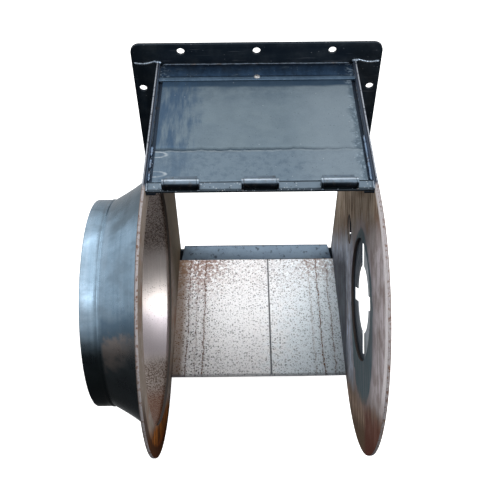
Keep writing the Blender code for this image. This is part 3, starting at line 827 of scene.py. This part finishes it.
def new_tree(name, inputs):
    """A Geometry Nodes tree with named inputs: its graph and the wires of its inputs."""
    tree = bpy.data.node_groups.new(name, "GeometryNodeTree")
    face = tree.interface
    face.new_socket("Geometry", in_out="INPUT", socket_type="NodeSocketGeometry")
    for label, kind in inputs.items():
        face.new_socket(label, in_out="INPUT", socket_type="NodeSocket" + kind)
    face.new_socket("Geometry", in_out="OUTPUT", socket_type="NodeSocketGeometry")
    graph = Graph(tree)
    entry = tree.nodes.new("NodeGroupInput")
    return graph, {socket.name: Wire(graph, socket) for socket in entry.outputs if socket.name}


def end_tree(graph, geometry, finish):
    """Close a tree: smooth faces, real instances and a material."""
    smooth = graph.node("GeometryNodeSetShadeSmooth", {"Geometry": geometry})
    real = graph.node("GeometryNodeRealizeInstances", {"Geometry": smooth})
    painted = graph.node("GeometryNodeSetMaterial", {"Geometry": real, "Material": finish})
    graph.node("NodeGroupOutput", {"Geometry": painted})
    return graph.tree


def bead_tree():
    """Weld beads along paths: a rippled round bead with tapered ends."""
    graph, given = new_tree("weld_bead", {
        "Bead Radius": "Float", "Ripple Pitch": "Float", "Ripple Depth": "Float",
        "Wander": "Float", "Seed": "Float", "Finish": "Material"})
    pitch = given["Ripple Pitch"]
    path = graph.node("GeometryNodeMeshToCurve", {"Mesh": given["Geometry"]})
    path = graph.node("GeometryNodeResampleCurve", {"Curve": path, "Length": pitch / 4},
                      {"mode": "LENGTH"})
    place = graph.node("GeometryNodeInputPosition")
    stray = graph.node("ShaderNodeTexNoise", {"Vector": place, "W": given["Seed"], "Scale": 120.0,
                                              "Detail": 2.0}, {"noise_dimensions": "4D"}, output="Color")
    stray = graph.node("ShaderNodeVectorMath", {0: stray, 1: (0.5, 0.5, 0.5)}, {"operation": "SUBTRACT"})
    stray = graph.node("ShaderNodeVectorMath", {0: stray, "Scale": given["Wander"] * 2},
                       {"operation": "SCALE"})
    path = graph.node("GeometryNodeSetPosition", {"Geometry": path, "Offset": stray})
    along = graph.node("GeometryNodeSplineParameter", output="Length")
    whole = graph.node("GeometryNodeSplineLength", output="Length")
    ripple = along / pitch
    step = ripple.math("FLOOR", ripple)
    uneven = graph.node("ShaderNodeTexWhiteNoise", {"W": step + given["Seed"]},
                        {"noise_dimensions": "1D"}, output="Value")
    swell = 1 - (ripple - step) * given["Ripple Depth"]
    from_end = along.math("MINIMUM", along, whole - along) / given["Bead Radius"] + 0.05
    taper = from_end.math("MINIMUM", from_end ** 0.5, 1.0)
    outline = graph.node("GeometryNodeCurvePrimitiveCircle",
                         {"Resolution": 10, "Radius": given["Bead Radius"]})
    bead = graph.node("GeometryNodeCurveToMesh", {"Curve": path, "Profile Curve": outline,
                                                  "Fill Caps": True,
                                                  "Scale": swell * taper * (0.88 + uneven * 0.24)})
    return end_tree(graph, bead, given["Finish"])


def spatter_tree():
    """Round drops of spatter scattered over patches."""
    graph, given = new_tree("weld_spatter", {"Smallest": "Float", "Largest": "Float", "Density": "Float",
                                             "Seed": "Int", "Finish": "Material"})
    points = graph.node("GeometryNodeDistributePointsOnFaces",
                        {"Mesh": given["Geometry"], "Density": given["Density"], "Seed": given["Seed"]})
    drop = graph.node("GeometryNodeMeshIcoSphere", {"Radius": 1.0, "Subdivisions": 2})
    size = graph.node("FunctionNodeRandomValue", {2: given["Smallest"], 3: given["Largest"],
                                                  "Seed": given["Seed"]}, {"data_type": "FLOAT"},
                      output=1)
    drops = graph.node("GeometryNodeInstanceOnPoints",
                       {"Points": points, "Instance": drop, "Scale": size})
    return end_tree(graph, drops, given["Finish"])


def turned_tree():
    """A profile of distances along an axis and radii, turned about the X direction."""
    graph, given = new_tree("turned", {"Steps": "Int", "Centre": "Vector", "Finish": "Material"})
    count = graph.node("GeometryNodeAttributeDomainSize", {"Geometry": given["Geometry"]})
    grid = graph.node("GeometryNodeMeshGrid", {"Vertices X": given["Steps"] + 1, "Vertices Y": count})
    index = graph.node("GeometryNodeInputIndex")
    column = index.math("FLOOR", (index + 0.5) / count)
    place = graph.node("GeometryNodeInputPosition")
    point = graph.node("GeometryNodeSampleIndex", {"Geometry": given["Geometry"], "Value": place,
                                                   "Index": index - column * count},
                       {"data_type": "FLOAT_VECTOR"})
    along = graph.node("ShaderNodeSeparateXYZ", {"Vector": point})
    radius = along.other("Y")
    turn = column * TURN / given["Steps"]
    spot = graph.node("ShaderNodeCombineXYZ", {"X": along, "Y": radius * turn.math("COSINE", turn),
                                               "Z": radius * turn.math("SINE", turn)})
    spot = graph.node("ShaderNodeVectorMath", {0: spot, 1: given["Centre"]}, {"operation": "ADD"})
    turned = graph.node("GeometryNodeSetPosition", {"Geometry": grid, "Position": spot})
    whole = graph.node("GeometryNodeMergeByDistance", {"Geometry": turned, "Distance": MERGE})
    return end_tree(graph, whole, given["Finish"])


def grown(name, points, edges, faces, tree, inputs, turn=None):
    """Run a tree on a small mesh and keep the result as a plain closed mesh."""
    seed_mesh = bpy.data.meshes.new(name + "_seed")
    seed_mesh.from_pydata(points, edges, faces)
    source = bpy.data.objects.new(name + "_source", seed_mesh)
    modifier = source.modifiers.new("grow", "NODES")
    modifier.node_group = tree
    for item in tree.interface.items_tree:
        if item.in_out == "INPUT" and item.name in inputs:
            modifier[item.identifier] = inputs[item.name]
    bpy.context.scene.collection.objects.link(source)
    graph = bpy.context.evaluated_depsgraph_get()
    mesh = bpy.data.meshes.new_from_object(source.evaluated_get(graph))
    source.modifiers.remove(modifier)
    bpy.data.objects.remove(source)
    if turn is not None:
        mesh.transform(turn)
    shape = bmesh.new()
    shape.from_mesh(mesh)
    bmesh.ops.remove_doubles(shape, verts=shape.verts, dist=MERGE)
    bmesh.ops.recalc_face_normals(shape, faces=shape.faces)
    if not shape.faces:
        raise RuntimeError(name + " came out empty")
    shape.to_mesh(mesh)
    shape.free()
    return mesh


def tree_named(name, maker):
    """A tree that is made once and then shared."""
    return bpy.data.node_groups.get(name) or maker()


def turned_mesh(name, profile, steps, centre, finish, closed, turn=None):
    """Turn a profile of (along, radius) pairs; closed joins its end to its start."""
    points = [(along, radius, 0) for along, radius in profile]
    if closed:
        points.append(points[0])
    edges = [(index, index + 1) for index in range(len(points) - 1)]
    return grown(name, points, edges, [], tree_named("turned", turned_tree),
                 {"Steps": steps, "Centre": centre, "Finish": finish}, turn)


def bead_mesh(name, paths, radius, finish, ripple, seed, wander):
    """One mesh of beads along several paths."""
    points = []
    edges = []
    for path in paths:
        start = len(points)
        points += path
        edges += [(start + index, start + index + 1) for index in range(len(path) - 1)]
    return grown(name, points, edges, [], tree_named("weld_bead", bead_tree),
                 {"Bead Radius": radius, "Ripple Pitch": ripple, "Ripple Depth": 0.28,
                  "Wander": wander, "Seed": float(seed), "Finish": finish})


def drops_mesh(name, patches, density, sizes, seed, finish):
    """One mesh of spatter over several patches, each given by its corners."""
    points = []
    faces = []
    for patch in patches:
        faces.append([len(points) + index for index in range(len(patch))])
        points += patch
    return grown(name, points, [], faces, tree_named("weld_spatter", spatter_tree),
                 {"Smallest": sizes[0], "Largest": sizes[1], "Density": density, "Seed": seed,
                  "Finish": finish})


def round_path(radius, x, start, end, steps):
    """Points round the fan's axis at one X; angles in degrees."""
    points = []
    for step in range(steps + 1):
        turn = math.radians(start + (end - start) * step / steps)
        points.append((x, FAN.y + radius * math.cos(turn), FAN.z + radius * math.sin(turn)))
    return points


def stitches(start, end, count, share):
    """Short straight paths spaced along a line; share is the welded part of it."""
    start, end = Vector(start), Vector(end)
    paths = []
    for index in range(count):
        first = start.lerp(end, (index + (1 - share) / 2) / count)
        last = start.lerp(end, (index + (1 + share) / 2) / count)
        paths.append([tuple(first), tuple(last)])
    return paths


def along_x(start, end, y, z):
    """A straight path in the X direction."""
    return [(start, y, z), (end, y, z)]


def along_y(x, start, end, z):
    """A straight path in the Y direction."""
    return [(x, start, z), (x, end, z)]


def rectangle(left, right, low, high, z):
    """The corners of a level rectangle."""
    return [(left, low, z), (right, low, z), (right, high, z), (left, high, z)]


def mirrored(paths):
    """The same paths on the other side of the housing as well."""
    return paths + [[(-x, y, z) for x, y, z in path] for path in paths]


# ---------------------------------------------------------------- operators

class BlowerOperator:
    """What every step of the build reads."""

    @property
    def sizes(self):
        return bpy.context.scene.blower_sizes

    @property
    def colours(self):
        return bpy.context.scene.blower_colours


class BLOWER_OT_studio(BlowerOperator, bpy.types.Operator):
    """Pale floor, soft light from above and the camera"""
    bl_idname = "blower.studio"
    bl_label = "Studio"

    def execute(self, context):
        studio = context.scene.blower_studio
        self.make_floor()
        self.make_light(context, studio)
        self.make_camera(context, studio)
        context.scene.view_settings.view_transform = "Standard"
        return {"FINISHED"}

    def make_floor(self):
        """A pale floor that glows a little and doesn't tint the housing."""
        mesh = bpy.data.meshes.new("floor")
        corners = rectangle(-FLOOR_HALF, FLOOR_HALF, -FLOOR_HALF, FLOOR_HALF, CAD_BOX[0][2] - FLOOR_GAP)
        mesh.from_pydata(corners, [], [(0, 1, 2, 3)])
        floor = bpy.data.objects.new("floor", mesh)
        bpy.context.scene.collection.objects.link(floor)
        paint = Paint("floor_pale")
        paint.shader.inputs["Emission Color"].default_value = (1, 1, 1, 1)
        paint.shader.inputs["Emission Strength"].default_value = FLOOR_GLOW
        paint.base(paint.noise(0.4, 3), (0.88, 0.88, 0.88), (0.93, 0.93, 0.93))
        mesh.materials.append(paint.finish(0.9, 0.0))
        floor.visible_glossy = False
        floor.visible_diffuse = False

    def make_light(self, context, studio):
        """A sky that is bright overhead and dark towards the ground."""
        world = bpy.data.worlds.new("soft_studio")
        world.use_nodes = True
        context.scene.world = world
        graph = Graph(world.node_tree)
        side = graph.node("ShaderNodeTexCoord", output="Generated")
        east = graph.node("ShaderNodeSeparateXYZ", {"Vector": side})
        north, up = east.other("Y"), east.other("Z")
        overhead = graph.rise(up, 0.05, 0.45)
        zenith = graph.rise(up, 0.66, 0.80) * 0.45
        beyond = graph.rise(north, 0.05, 0.60) * 0.50
        aside = graph.rise(east, -0.50, -0.95) * graph.rise(up, -0.35, 0.15) * 0.60
        level = studio.ground + overhead * studio.sky + zenith + (beyond + aside) * (1 - overhead)
        seen = graph.node("ShaderNodeLightPath", output="Is Camera Ray")
        strength = level * (1 - seen) + seen
        background = world.node_tree.nodes["Background"]
        background.inputs["Color"].default_value = (1, 1, 1, 1)
        world.node_tree.links.new(strength.socket, background.inputs["Strength"])
        for lamp in LAMPS:
            self.add_lamp(*lamp)

    def add_lamp(self, name, place, target, width, height, power):
        """A soft lamp aimed at a point."""
        lamp = bpy.data.lights.new(name, "AREA")
        lamp.shape = "RECTANGLE"
        lamp.size = width
        lamp.size_y = height
        lamp.energy = power
        light = bpy.data.objects.new(name, lamp)
        light.location = place
        aim = Vector(target) - Vector(place)
        light.rotation_euler = aim.to_track_quat("-Z", "Y").to_euler()
        light.visible_camera = False
        bpy.context.scene.collection.objects.link(light)

    def make_camera(self, context, studio):
        """A camera turned aside, tilted down and then rolled."""
        down, aside, roll = studio.camera_down, studio.camera_aside, studio.camera_roll
        forward = Vector((math.sin(aside) * math.cos(down), math.cos(aside) * math.cos(down),
                          -math.sin(down)))
        level = Vector((math.cos(aside), -math.sin(aside), 0))
        lower = forward.cross(level)
        right = level * math.cos(roll) + lower * math.sin(roll)
        lower = lower * math.cos(roll) - level * math.sin(roll)
        data = bpy.data.cameras.new("camera")
        data.lens = studio.camera_lens
        data.sensor_width = SENSOR_WIDTH
        camera = bpy.data.objects.new("camera", data)
        turned = Matrix((right, -lower, -forward)).transposed().to_4x4()
        camera.matrix_world = Matrix.Translation(studio.camera_place) @ turned
        context.scene.collection.objects.link(camera)
        context.scene.camera = camera


class BLOWER_OT_side_plates(BlowerOperator, bpy.types.Operator):
    """Inlet and drive side plates with rounded, pitted cut edges"""
    bl_idname = "blower.side_plates"
    bl_label = "Side Plates"

    def execute(self, context):
        softened("inlet_plate", "inlet_side_plate", inlet_plate_finish(self.colours),
                 self.sizes.plate_edge)
        softened("drive_plate", "drive_side_plate", drive_plate_finish(self.colours),
                 self.sizes.plate_edge)
        softened("drive_cover_ring", "drive_ring", ring_finish(self.colours),
                 self.sizes.plate_edge)
        return {"FINISHED"}


class BLOWER_OT_inlet(BlowerOperator, bpy.types.Operator):
    """Spun inlet cone and spigot"""
    bl_idname = "blower.inlet"
    bl_label = "Inlet"

    def execute(self, context):
        finish = spun_finish(self.colours)
        lining = lining_finish(self.colours)
        wall = self.sizes.inlet_wall
        ridge = self.sizes.ridge
        centre = (0, FAN.y, FAN.z)
        base = CONE_HIGH.z - FAN.z
        neck = SPIGOT_HIGH.z - FAN.z

        # the cone, from its base on the plate to its neck, then back inside
        outside = []
        for step in range(CONE_STEPS + 1):
            share = step / CONE_STEPS
            bow = CONE_BOW * math.sin(math.pi * share)
            outside.append((CONE_HIGH.x + (CONE_LOW.x - CONE_HIGH.x) * share,
                            base + (neck - base) * share - bow))
        inside = [(along, radius - wall) for along, radius in reversed(outside)]
        cone = turned_mesh("cone", outside + inside, ROUND_STEPS, centre, finish, closed=True)
        piece = add_piece("inlet_cone_spun", cone, finish, nodes=("inlet_cone",))
        self.line(piece, lining)

        # the spigot: a ridge at the cone, a straight barrel and a rounded end
        start, end = SPIGOT_HIGH.x, SPIGOT_LOW.x
        outside = [(start + SPIGOT_LAP, neck)]
        for step in range(ARC_STEPS + 1):
            share = step / ARC_STEPS
            outside.append((start - RIDGE_WIDTH * share, neck + ridge * math.sin(math.pi * share)))
        barrel = (start - 2 * RIDGE_WIDTH, end + 0.008)
        outside += [(along, neck) for along in barrel]
        inner = neck - wall
        for step in range(ARC_STEPS + 1):
            turn = math.pi * step / ARC_STEPS
            outside.append((end + wall / 2 - wall / 2 * math.sin(turn),
                            neck - wall / 2 + wall / 2 * math.cos(turn)))
        inside = [(along, inner) for along in (barrel[1], barrel[0], start + SPIGOT_LAP)]
        spigot = turned_mesh("spigot", outside + inside, ROUND_STEPS, centre, finish, closed=True)
        piece = add_piece("inlet_spigot_spun", spigot, finish, nodes=("inlet_spigot",))
        self.line(piece, lining)
        return {"FINISHED"}

    def line(self, piece, lining):
        """Give the lining to the faces that look at the axis."""
        piece.data.materials.append(lining)
        for face in piece.data.polygons:
            outwards = face.center - Vector((face.center.x, FAN.y, FAN.z))
            face.material_index = 1 if face.normal.dot(outwards) < 0 else 0
        piece.data.set_sharp_from_angle(angle=math.radians(45))


class BLOWER_OT_flange(BlowerOperator, bpy.types.Operator):
    """Black outlet flange of four bars"""
    bl_idname = "blower.flange"
    bl_label = "Outlet Flange"

    def execute(self, context):
        finish = flange_finish(self.colours)
        for side in ("top", "bottom", "left", "right"):
            softened(f"flange_{side}", f"flange_{side}_bar", finish,
                     self.sizes.plate_edge)
        return {"FINISHED"}


class BLOWER_OT_front_wall(BlowerOperator, bpy.types.Operator):
    """Top strip with its raised edge, hinge strip, rails, catch and screw"""
    bl_idname = "blower.front_wall"
    bl_label = "Front Wall"

    def execute(self, context):
        sizes = self.sizes
        edge = sizes.sheet_edge
        line = STRIP_LOW.y + sizes.band_width

        def strip_relief(x, y):
            """The raised band with a smooth step, and faint waves."""
            share = min(max((line - y) / 0.0015, 0), 1)
            raised = sizes.band_height * share * share * (3 - 2 * share)
            return raised + 0.00015 * math.sin(x * 70) * math.sin(y * 160)

        def sill_relief(x, y):
            """Faint waves."""
            return 0.0001 * math.sin(x * 210 + 1) * math.sin(y * 400)

        strip = pressed_sheet(STRIP_LOW, STRIP_HIGH, 90, 40, edge, strip_relief)
        add_piece("top_strip", strip, strip_finish(self.colours, sizes),
                  nodes=("front_top_strip",))
        sill = pressed_sheet(SILL_LOW, SILL_HIGH, 90, 12, edge, sill_relief)
        add_piece("hinge_sill", sill, sill_finish(self.colours), nodes=("hinge_strip",))
        rail_finish = scale_finish("rail_mill_scale", (0.040, 0.060, 0.090))
        for side in ("left", "right"):
            softened(f"rail_{side}", f"door_rail_{side}", rail_finish, sizes.plate_edge)
        softened("catch", "catch_plate", scale_finish("catch_mill_scale", (0.20, 0.20, 0.21)),
                 sizes.plate_edge)
        self.make_screw()
        return {"FINISHED"}

    def make_screw(self):
        """A button head with a round socket, turned about Z."""
        finish = scale_finish("screw_bright_steel", (0.62, 0.62, 0.62))
        head = SCREW_HIGH.x
        height = SCREW_HIGH.z - FACE
        profile = [(height * 0.35, 0), (height * 0.35, SCREW_SOCKET), (height * 0.96, SCREW_SOCKET * 1.1)]
        for step in range(ARC_STEPS + 1):
            turn = math.radians(70 - 70 * step / ARC_STEPS)
            profile.append((height * (0.25 + 0.75 * math.sin(turn)), head * math.cos(turn)))
        foot = SCREW_LOW.z - FACE
        profile += [(0.0003, head), (0.0003, SCREW_SHANK), (foot + 0.001, SCREW_SHANK),
                    (foot, SCREW_SHANK - 0.0008), (foot, 0)]
        middle = (SCREW_LOW + SCREW_HIGH) / 2
        upright = Matrix.Translation((middle.x, middle.y, FACE)) @ Matrix.Rotation(-math.pi / 2, 4, "Y")
        mesh = turned_mesh("screw", profile, 32, (0, 0, 0), finish, closed=False, turn=upright)
        piece = add_piece("button_screw", mesh, finish, nodes=("retaining_screw",))
        piece.data.set_sharp_from_angle(angle=math.radians(40))


class BLOWER_OT_access_door(BlowerOperator, bpy.types.Operator):
    """Access door with a soft crease across it"""
    bl_idname = "blower.access_door"
    bl_label = "Access Door"

    def execute(self, context):
        sizes = self.sizes
        crease_y = DOOR_LOW.y + sizes.crease_drop
        width = DOOR_HIGH.x - DOOR_LOW.x

        def relief(x, y):
            line = crease_y + 0.0014 * math.sin(x * 42) + 0.0008 * math.sin(x * 97 + 1)
            fade = 1 - 0.6 * (x - DOOR_LOW.x) / width
            groove = sizes.crease_depth * fade * bump(y - line, 0.0030)
            swell = 0.3 * sizes.crease_depth * fade * bump(y - line + 0.0060, 0.0030)
            warp = 0.00025 * math.sin(x * 13 + 0.6) * math.sin(y * 21)
            return swell - groove + warp

        mesh = pressed_sheet(DOOR_LOW, DOOR_HIGH, 120, 130, sizes.sheet_edge, relief)
        add_piece("door_panel", mesh, door_finish(self.colours, sizes), "door",
                  ("access_door",))
        return {"FINISHED"}


class BLOWER_OT_hinges(BlowerOperator, bpy.types.Operator):
    """Three pin hinges between the door and the hinge strip"""
    bl_idname = "blower.hinges"
    bl_label = "Hinges"

    def execute(self, context):
        finish = hinge_finish(self.colours)
        pins = scale_finish("pin_bright_steel", (0.34, 0.35, 0.37))
        edge = self.sizes.hinge_edge
        for number in range(1, HINGE_COUNT + 1):
            softened(f"hinge_barrel_{number}", f"door_hinge_eye_{number}", finish,
                     edge, "door")
            for side in ("left", "right"):
                softened(f"hinge_end_{number}_{side}", f"hinge_ear_{number}_{side}", finish,
                         edge)
            for slot in frame["nodes"][f"hinge_pin_{number}"].material_slots:
                slot.material = pins
        return {"FINISHED"}


class BLOWER_OT_back_sheet(BlowerOperator, bpy.types.Operator):
    """Bright rough back sheets and the lip at the outlet"""
    bl_idname = "blower.back_sheet"
    bl_label = "Back Sheet"

    def execute(self, context):
        finish = sheet_finish(self.colours)
        edge = self.sizes.sheet_edge

        def relief(x, y):
            return 0.00022 * math.sin(x * 24 + 0.5) * math.sin(y * 31)

        left = pressed_sheet(SHEET_LOW, SHEET_HIGH, 70, 90, edge, relief)
        add_piece("back_left", left, finish, nodes=("back_sheet_left",))
        right = pressed_sheet(SECOND_LOW, SECOND_HIGH, 60, 90, edge, relief)
        add_piece("back_right", right, finish, nodes=("back_sheet_right",))
        softened("lip", "outlet_lip", lip_finish(), edge)
        return {"FINISHED"}


class BLOWER_OT_welds(BlowerOperator, bpy.types.Operator):
    """Weld beads and spatter"""
    bl_idname = "blower.welds"
    bl_label = "Welds"

    def execute(self, context):
        bright = weld_finish("weld_bright", self.colours.weld, 0.25)
        dark = weld_finish("weld_dark", (0.10, 0.12, 0.15), 0.5)
        blue = weld_finish("weld_blue", (0.26, 0.38, 0.56), 0.35)
        groove = INNER - 0.0004         # between the front wall and a side plate
        inset = groove - 0.0010
        rail_top = RAIL_TOP + 0.0003
        rail_start = SILL_HIGH.y + 0.003
        behind = FLANGE_BACK + 0.0006
        beside = OUTER + 0.0006
        under = SHEET_LOW.z + 0.0003
        base = CONE_HIGH.z - FAN.z
        cover = RING_HIGH.z - FAN.z

        corner = []
        for step in range(ARC_STEPS + 1):
            share = step / ARC_STEPS
            corner.append((OUTER + 0.001 + (SIDE_BAR_HIGH.x - OUTER - 0.004) * share, behind,
                           SIDE_BAR_HIGH.z - 0.0045 * math.sin(math.pi * share * 0.8)))
        seam = along_x(STRIP_LOW.x + 0.004, STRIP_HIGH.x - 0.004, FLANGE_BACK - 0.0004, FACE + 0.0006)
        blob = [(INNER - 0.002, FLANGE_BACK - 0.001, PLATE_HIGH.z - 0.001),
                (OUTER + 0.003, FLANGE_BACK - 0.001, PLATE_HIGH.z - 0.0005)]
        low = along_x(SIDE_BAR_LOW.x + 0.006, SIDE_BAR_HIGH.x - 0.002, behind, BOTTOM_BAR_TOP)
        side = stitches((beside, FLANGE_BACK - 0.0006, PLATE_HIGH.z - 0.012),
                        (beside, FLANGE_BACK - 0.0006, PLATE_LOW.z + 0.012), 5, 0.6)
        rails = [along_y(inset, rail_start, DOOR_LOW.y + 0.085, rail_top)]
        rails += stitches(*along_y(-inset, rail_start, DOOR_LOW.y + 0.070, rail_top), 3, 0.75)
        root = along_y(groove, DOOR_LOW.y + 0.072, DOOR_HIGH.y - 0.002, rail_top)
        strip_end = along_y(groove, STRIP_LOW.y + 0.002, FLANGE_BACK - 0.003, FACE)
        sill_end = along_y(groove, SILL_LOW.y + 0.001, SILL_HIGH.y - 0.001, FACE + 0.0004)
        ring = round_path(base + 0.0005, CONE_HIGH.x - 0.0006, 0, 357, 180)
        tacks = [round_path(cover, RING_LOW.x + 0.0004, middle - 4, middle + 4, 8)
                 for middle in range(15, 360, 45)]
        sheet = mirrored(stitches(*along_y(OUTER, SHEET_LOW.y + 0.006, SHEET_HIGH.y - 0.004,
                                           (SHEET_HIGH.z + SHEET_LOW.z) / 2 + 0.0015), 4, 0.7))
        sheet.append(along_y(SHEET_HIGH.x, SHEET_LOW.y + 0.004, SHEET_HIGH.y - 0.004, under))
        sheet.append(along_x(LIP_LOW.x + 0.008, LIP_HIGH.x - 0.008, SHEET_HIGH.y, under))
        feet = []
        for number in range(1, HINGE_COUNT + 1):
            for word in ("left", "right"):
                ear_low, ear_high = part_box(f"hinge_ear_{number}_{word}")
                feet.append(along_x(ear_low.x - 0.0002, ear_high.x + 0.0002, ear_low.y + 0.0002,
                                    FACE + 0.0006))

        # name, paths, share of the bead's radius, finish, seed, wander
        for weld in (
            ("weld_strip_to_flange", [seam], 0.75, dark, 1, 0.0006),
            ("weld_flange_corners", mirrored([corner]), 1.15, bright, 2, 0.0004),
            ("weld_duct_corners", mirrored([blob]), 1.5, bright, 3, 0.001),
            ("weld_flange_sides", mirrored([low] + side), 1.0, bright, 4, 0.0004),
            ("weld_door_rails", rails, 1.4, blue, 5, 0.0004),
            ("weld_rail_roots", mirrored([root]), 0.5, dark, 12, 0.0006),
            ("weld_strip_ends", mirrored([strip_end]), 0.7, dark, 6, 0.0004),
            ("weld_sill_ends", mirrored([sill_end]), 1.1, bright, 7, 0.0004),
            ("weld_inlet_base", [ring], 1.0, bright, 8, 0.0004),
            ("weld_cover_ring", tacks, 0.8, bright, 9, 0.0004),
            ("weld_back_sheet", sheet, 0.9, bright, 10, 0.0004),
            ("weld_hinge_feet", feet, 0.5, dark, 11, 0.0002),
        ):
            self.beads(*weld)

        drops = [rectangle(sign * (DOOR_HIGH.x + 0.0015), sign * (INNER - 0.001), DOOR_LOW.y,
                           DOOR_LOW.y + reach, RAIL_TOP) for sign, reach in ((-1, 0.07), (1, 0.03))]
        drops.append(rectangle(SILL_LOW.x + 0.002, SILL_HIGH.x - 0.002, SILL_LOW.y + 0.002,
                               HINGE.y - 0.0065, FACE))
        mesh = drops_mesh("spatter", drops, SPATTER_DENSITY, SPATTER_SIZES, 7, bright)
        add_piece("weld_spatter_housing", mesh, bright)
        return {"FINISHED"}

    def beads(self, name, paths, share, finish, seed, wander):
        """Add one piece of beads; their radius is a share of the usual one."""
        sizes = self.sizes
        mesh = bead_mesh(name, paths, sizes.bead * share, finish, sizes.ripple, seed, wander)
        add_piece(name, mesh, finish)


class BLOWER_PT_panel(bpy.types.Panel):
    """The steps of the build and their sizes"""
    bl_idname = "BLOWER_PT_panel"
    bl_label = "Blower Housing"
    bl_space_type = "VIEW_3D"
    bl_region_type = "UI"
    bl_category = "Blower"

    def draw(self, context):
        layout = self.layout
        for step in STEPS:
            layout.operator("blower." + step)
        for group in (context.scene.blower_sizes, context.scene.blower_colours,
                      context.scene.blower_studio):
            box = layout.box()
            for name in group.bl_rna.properties.keys():
                if name not in ("rna_type", "name"):
                    box.prop(group, name)


STEPS = ("studio", "side_plates", "inlet", "flange", "front_wall", "access_door", "hinges",
         "back_sheet", "welds")
CLASSES = (BlowerSizes, BlowerColours, BlowerStudio, BLOWER_OT_studio, BLOWER_OT_side_plates,
           BLOWER_OT_inlet, BLOWER_OT_flange, BLOWER_OT_front_wall, BLOWER_OT_access_door,
           BLOWER_OT_hinges, BLOWER_OT_back_sheet, BLOWER_OT_welds, BLOWER_PT_panel)


def register():
    for item in CLASSES:
        bpy.utils.register_class(item)
    bpy.types.Scene.blower_sizes = bpy.props.PointerProperty(type=BlowerSizes)
    bpy.types.Scene.blower_colours = bpy.props.PointerProperty(type=BlowerColours)
    bpy.types.Scene.blower_studio = bpy.props.PointerProperty(type=BlowerStudio)


def unregister():
    del bpy.types.Scene.blower_sizes
    del bpy.types.Scene.blower_colours
    del bpy.types.Scene.blower_studio
    for item in reversed(CLASSES):
        bpy.utils.unregister_class(item)


def main():
    register()
    for step in STEPS:
        getattr(bpy.ops.blower, step)()


if __name__ == "__main__":
    main()
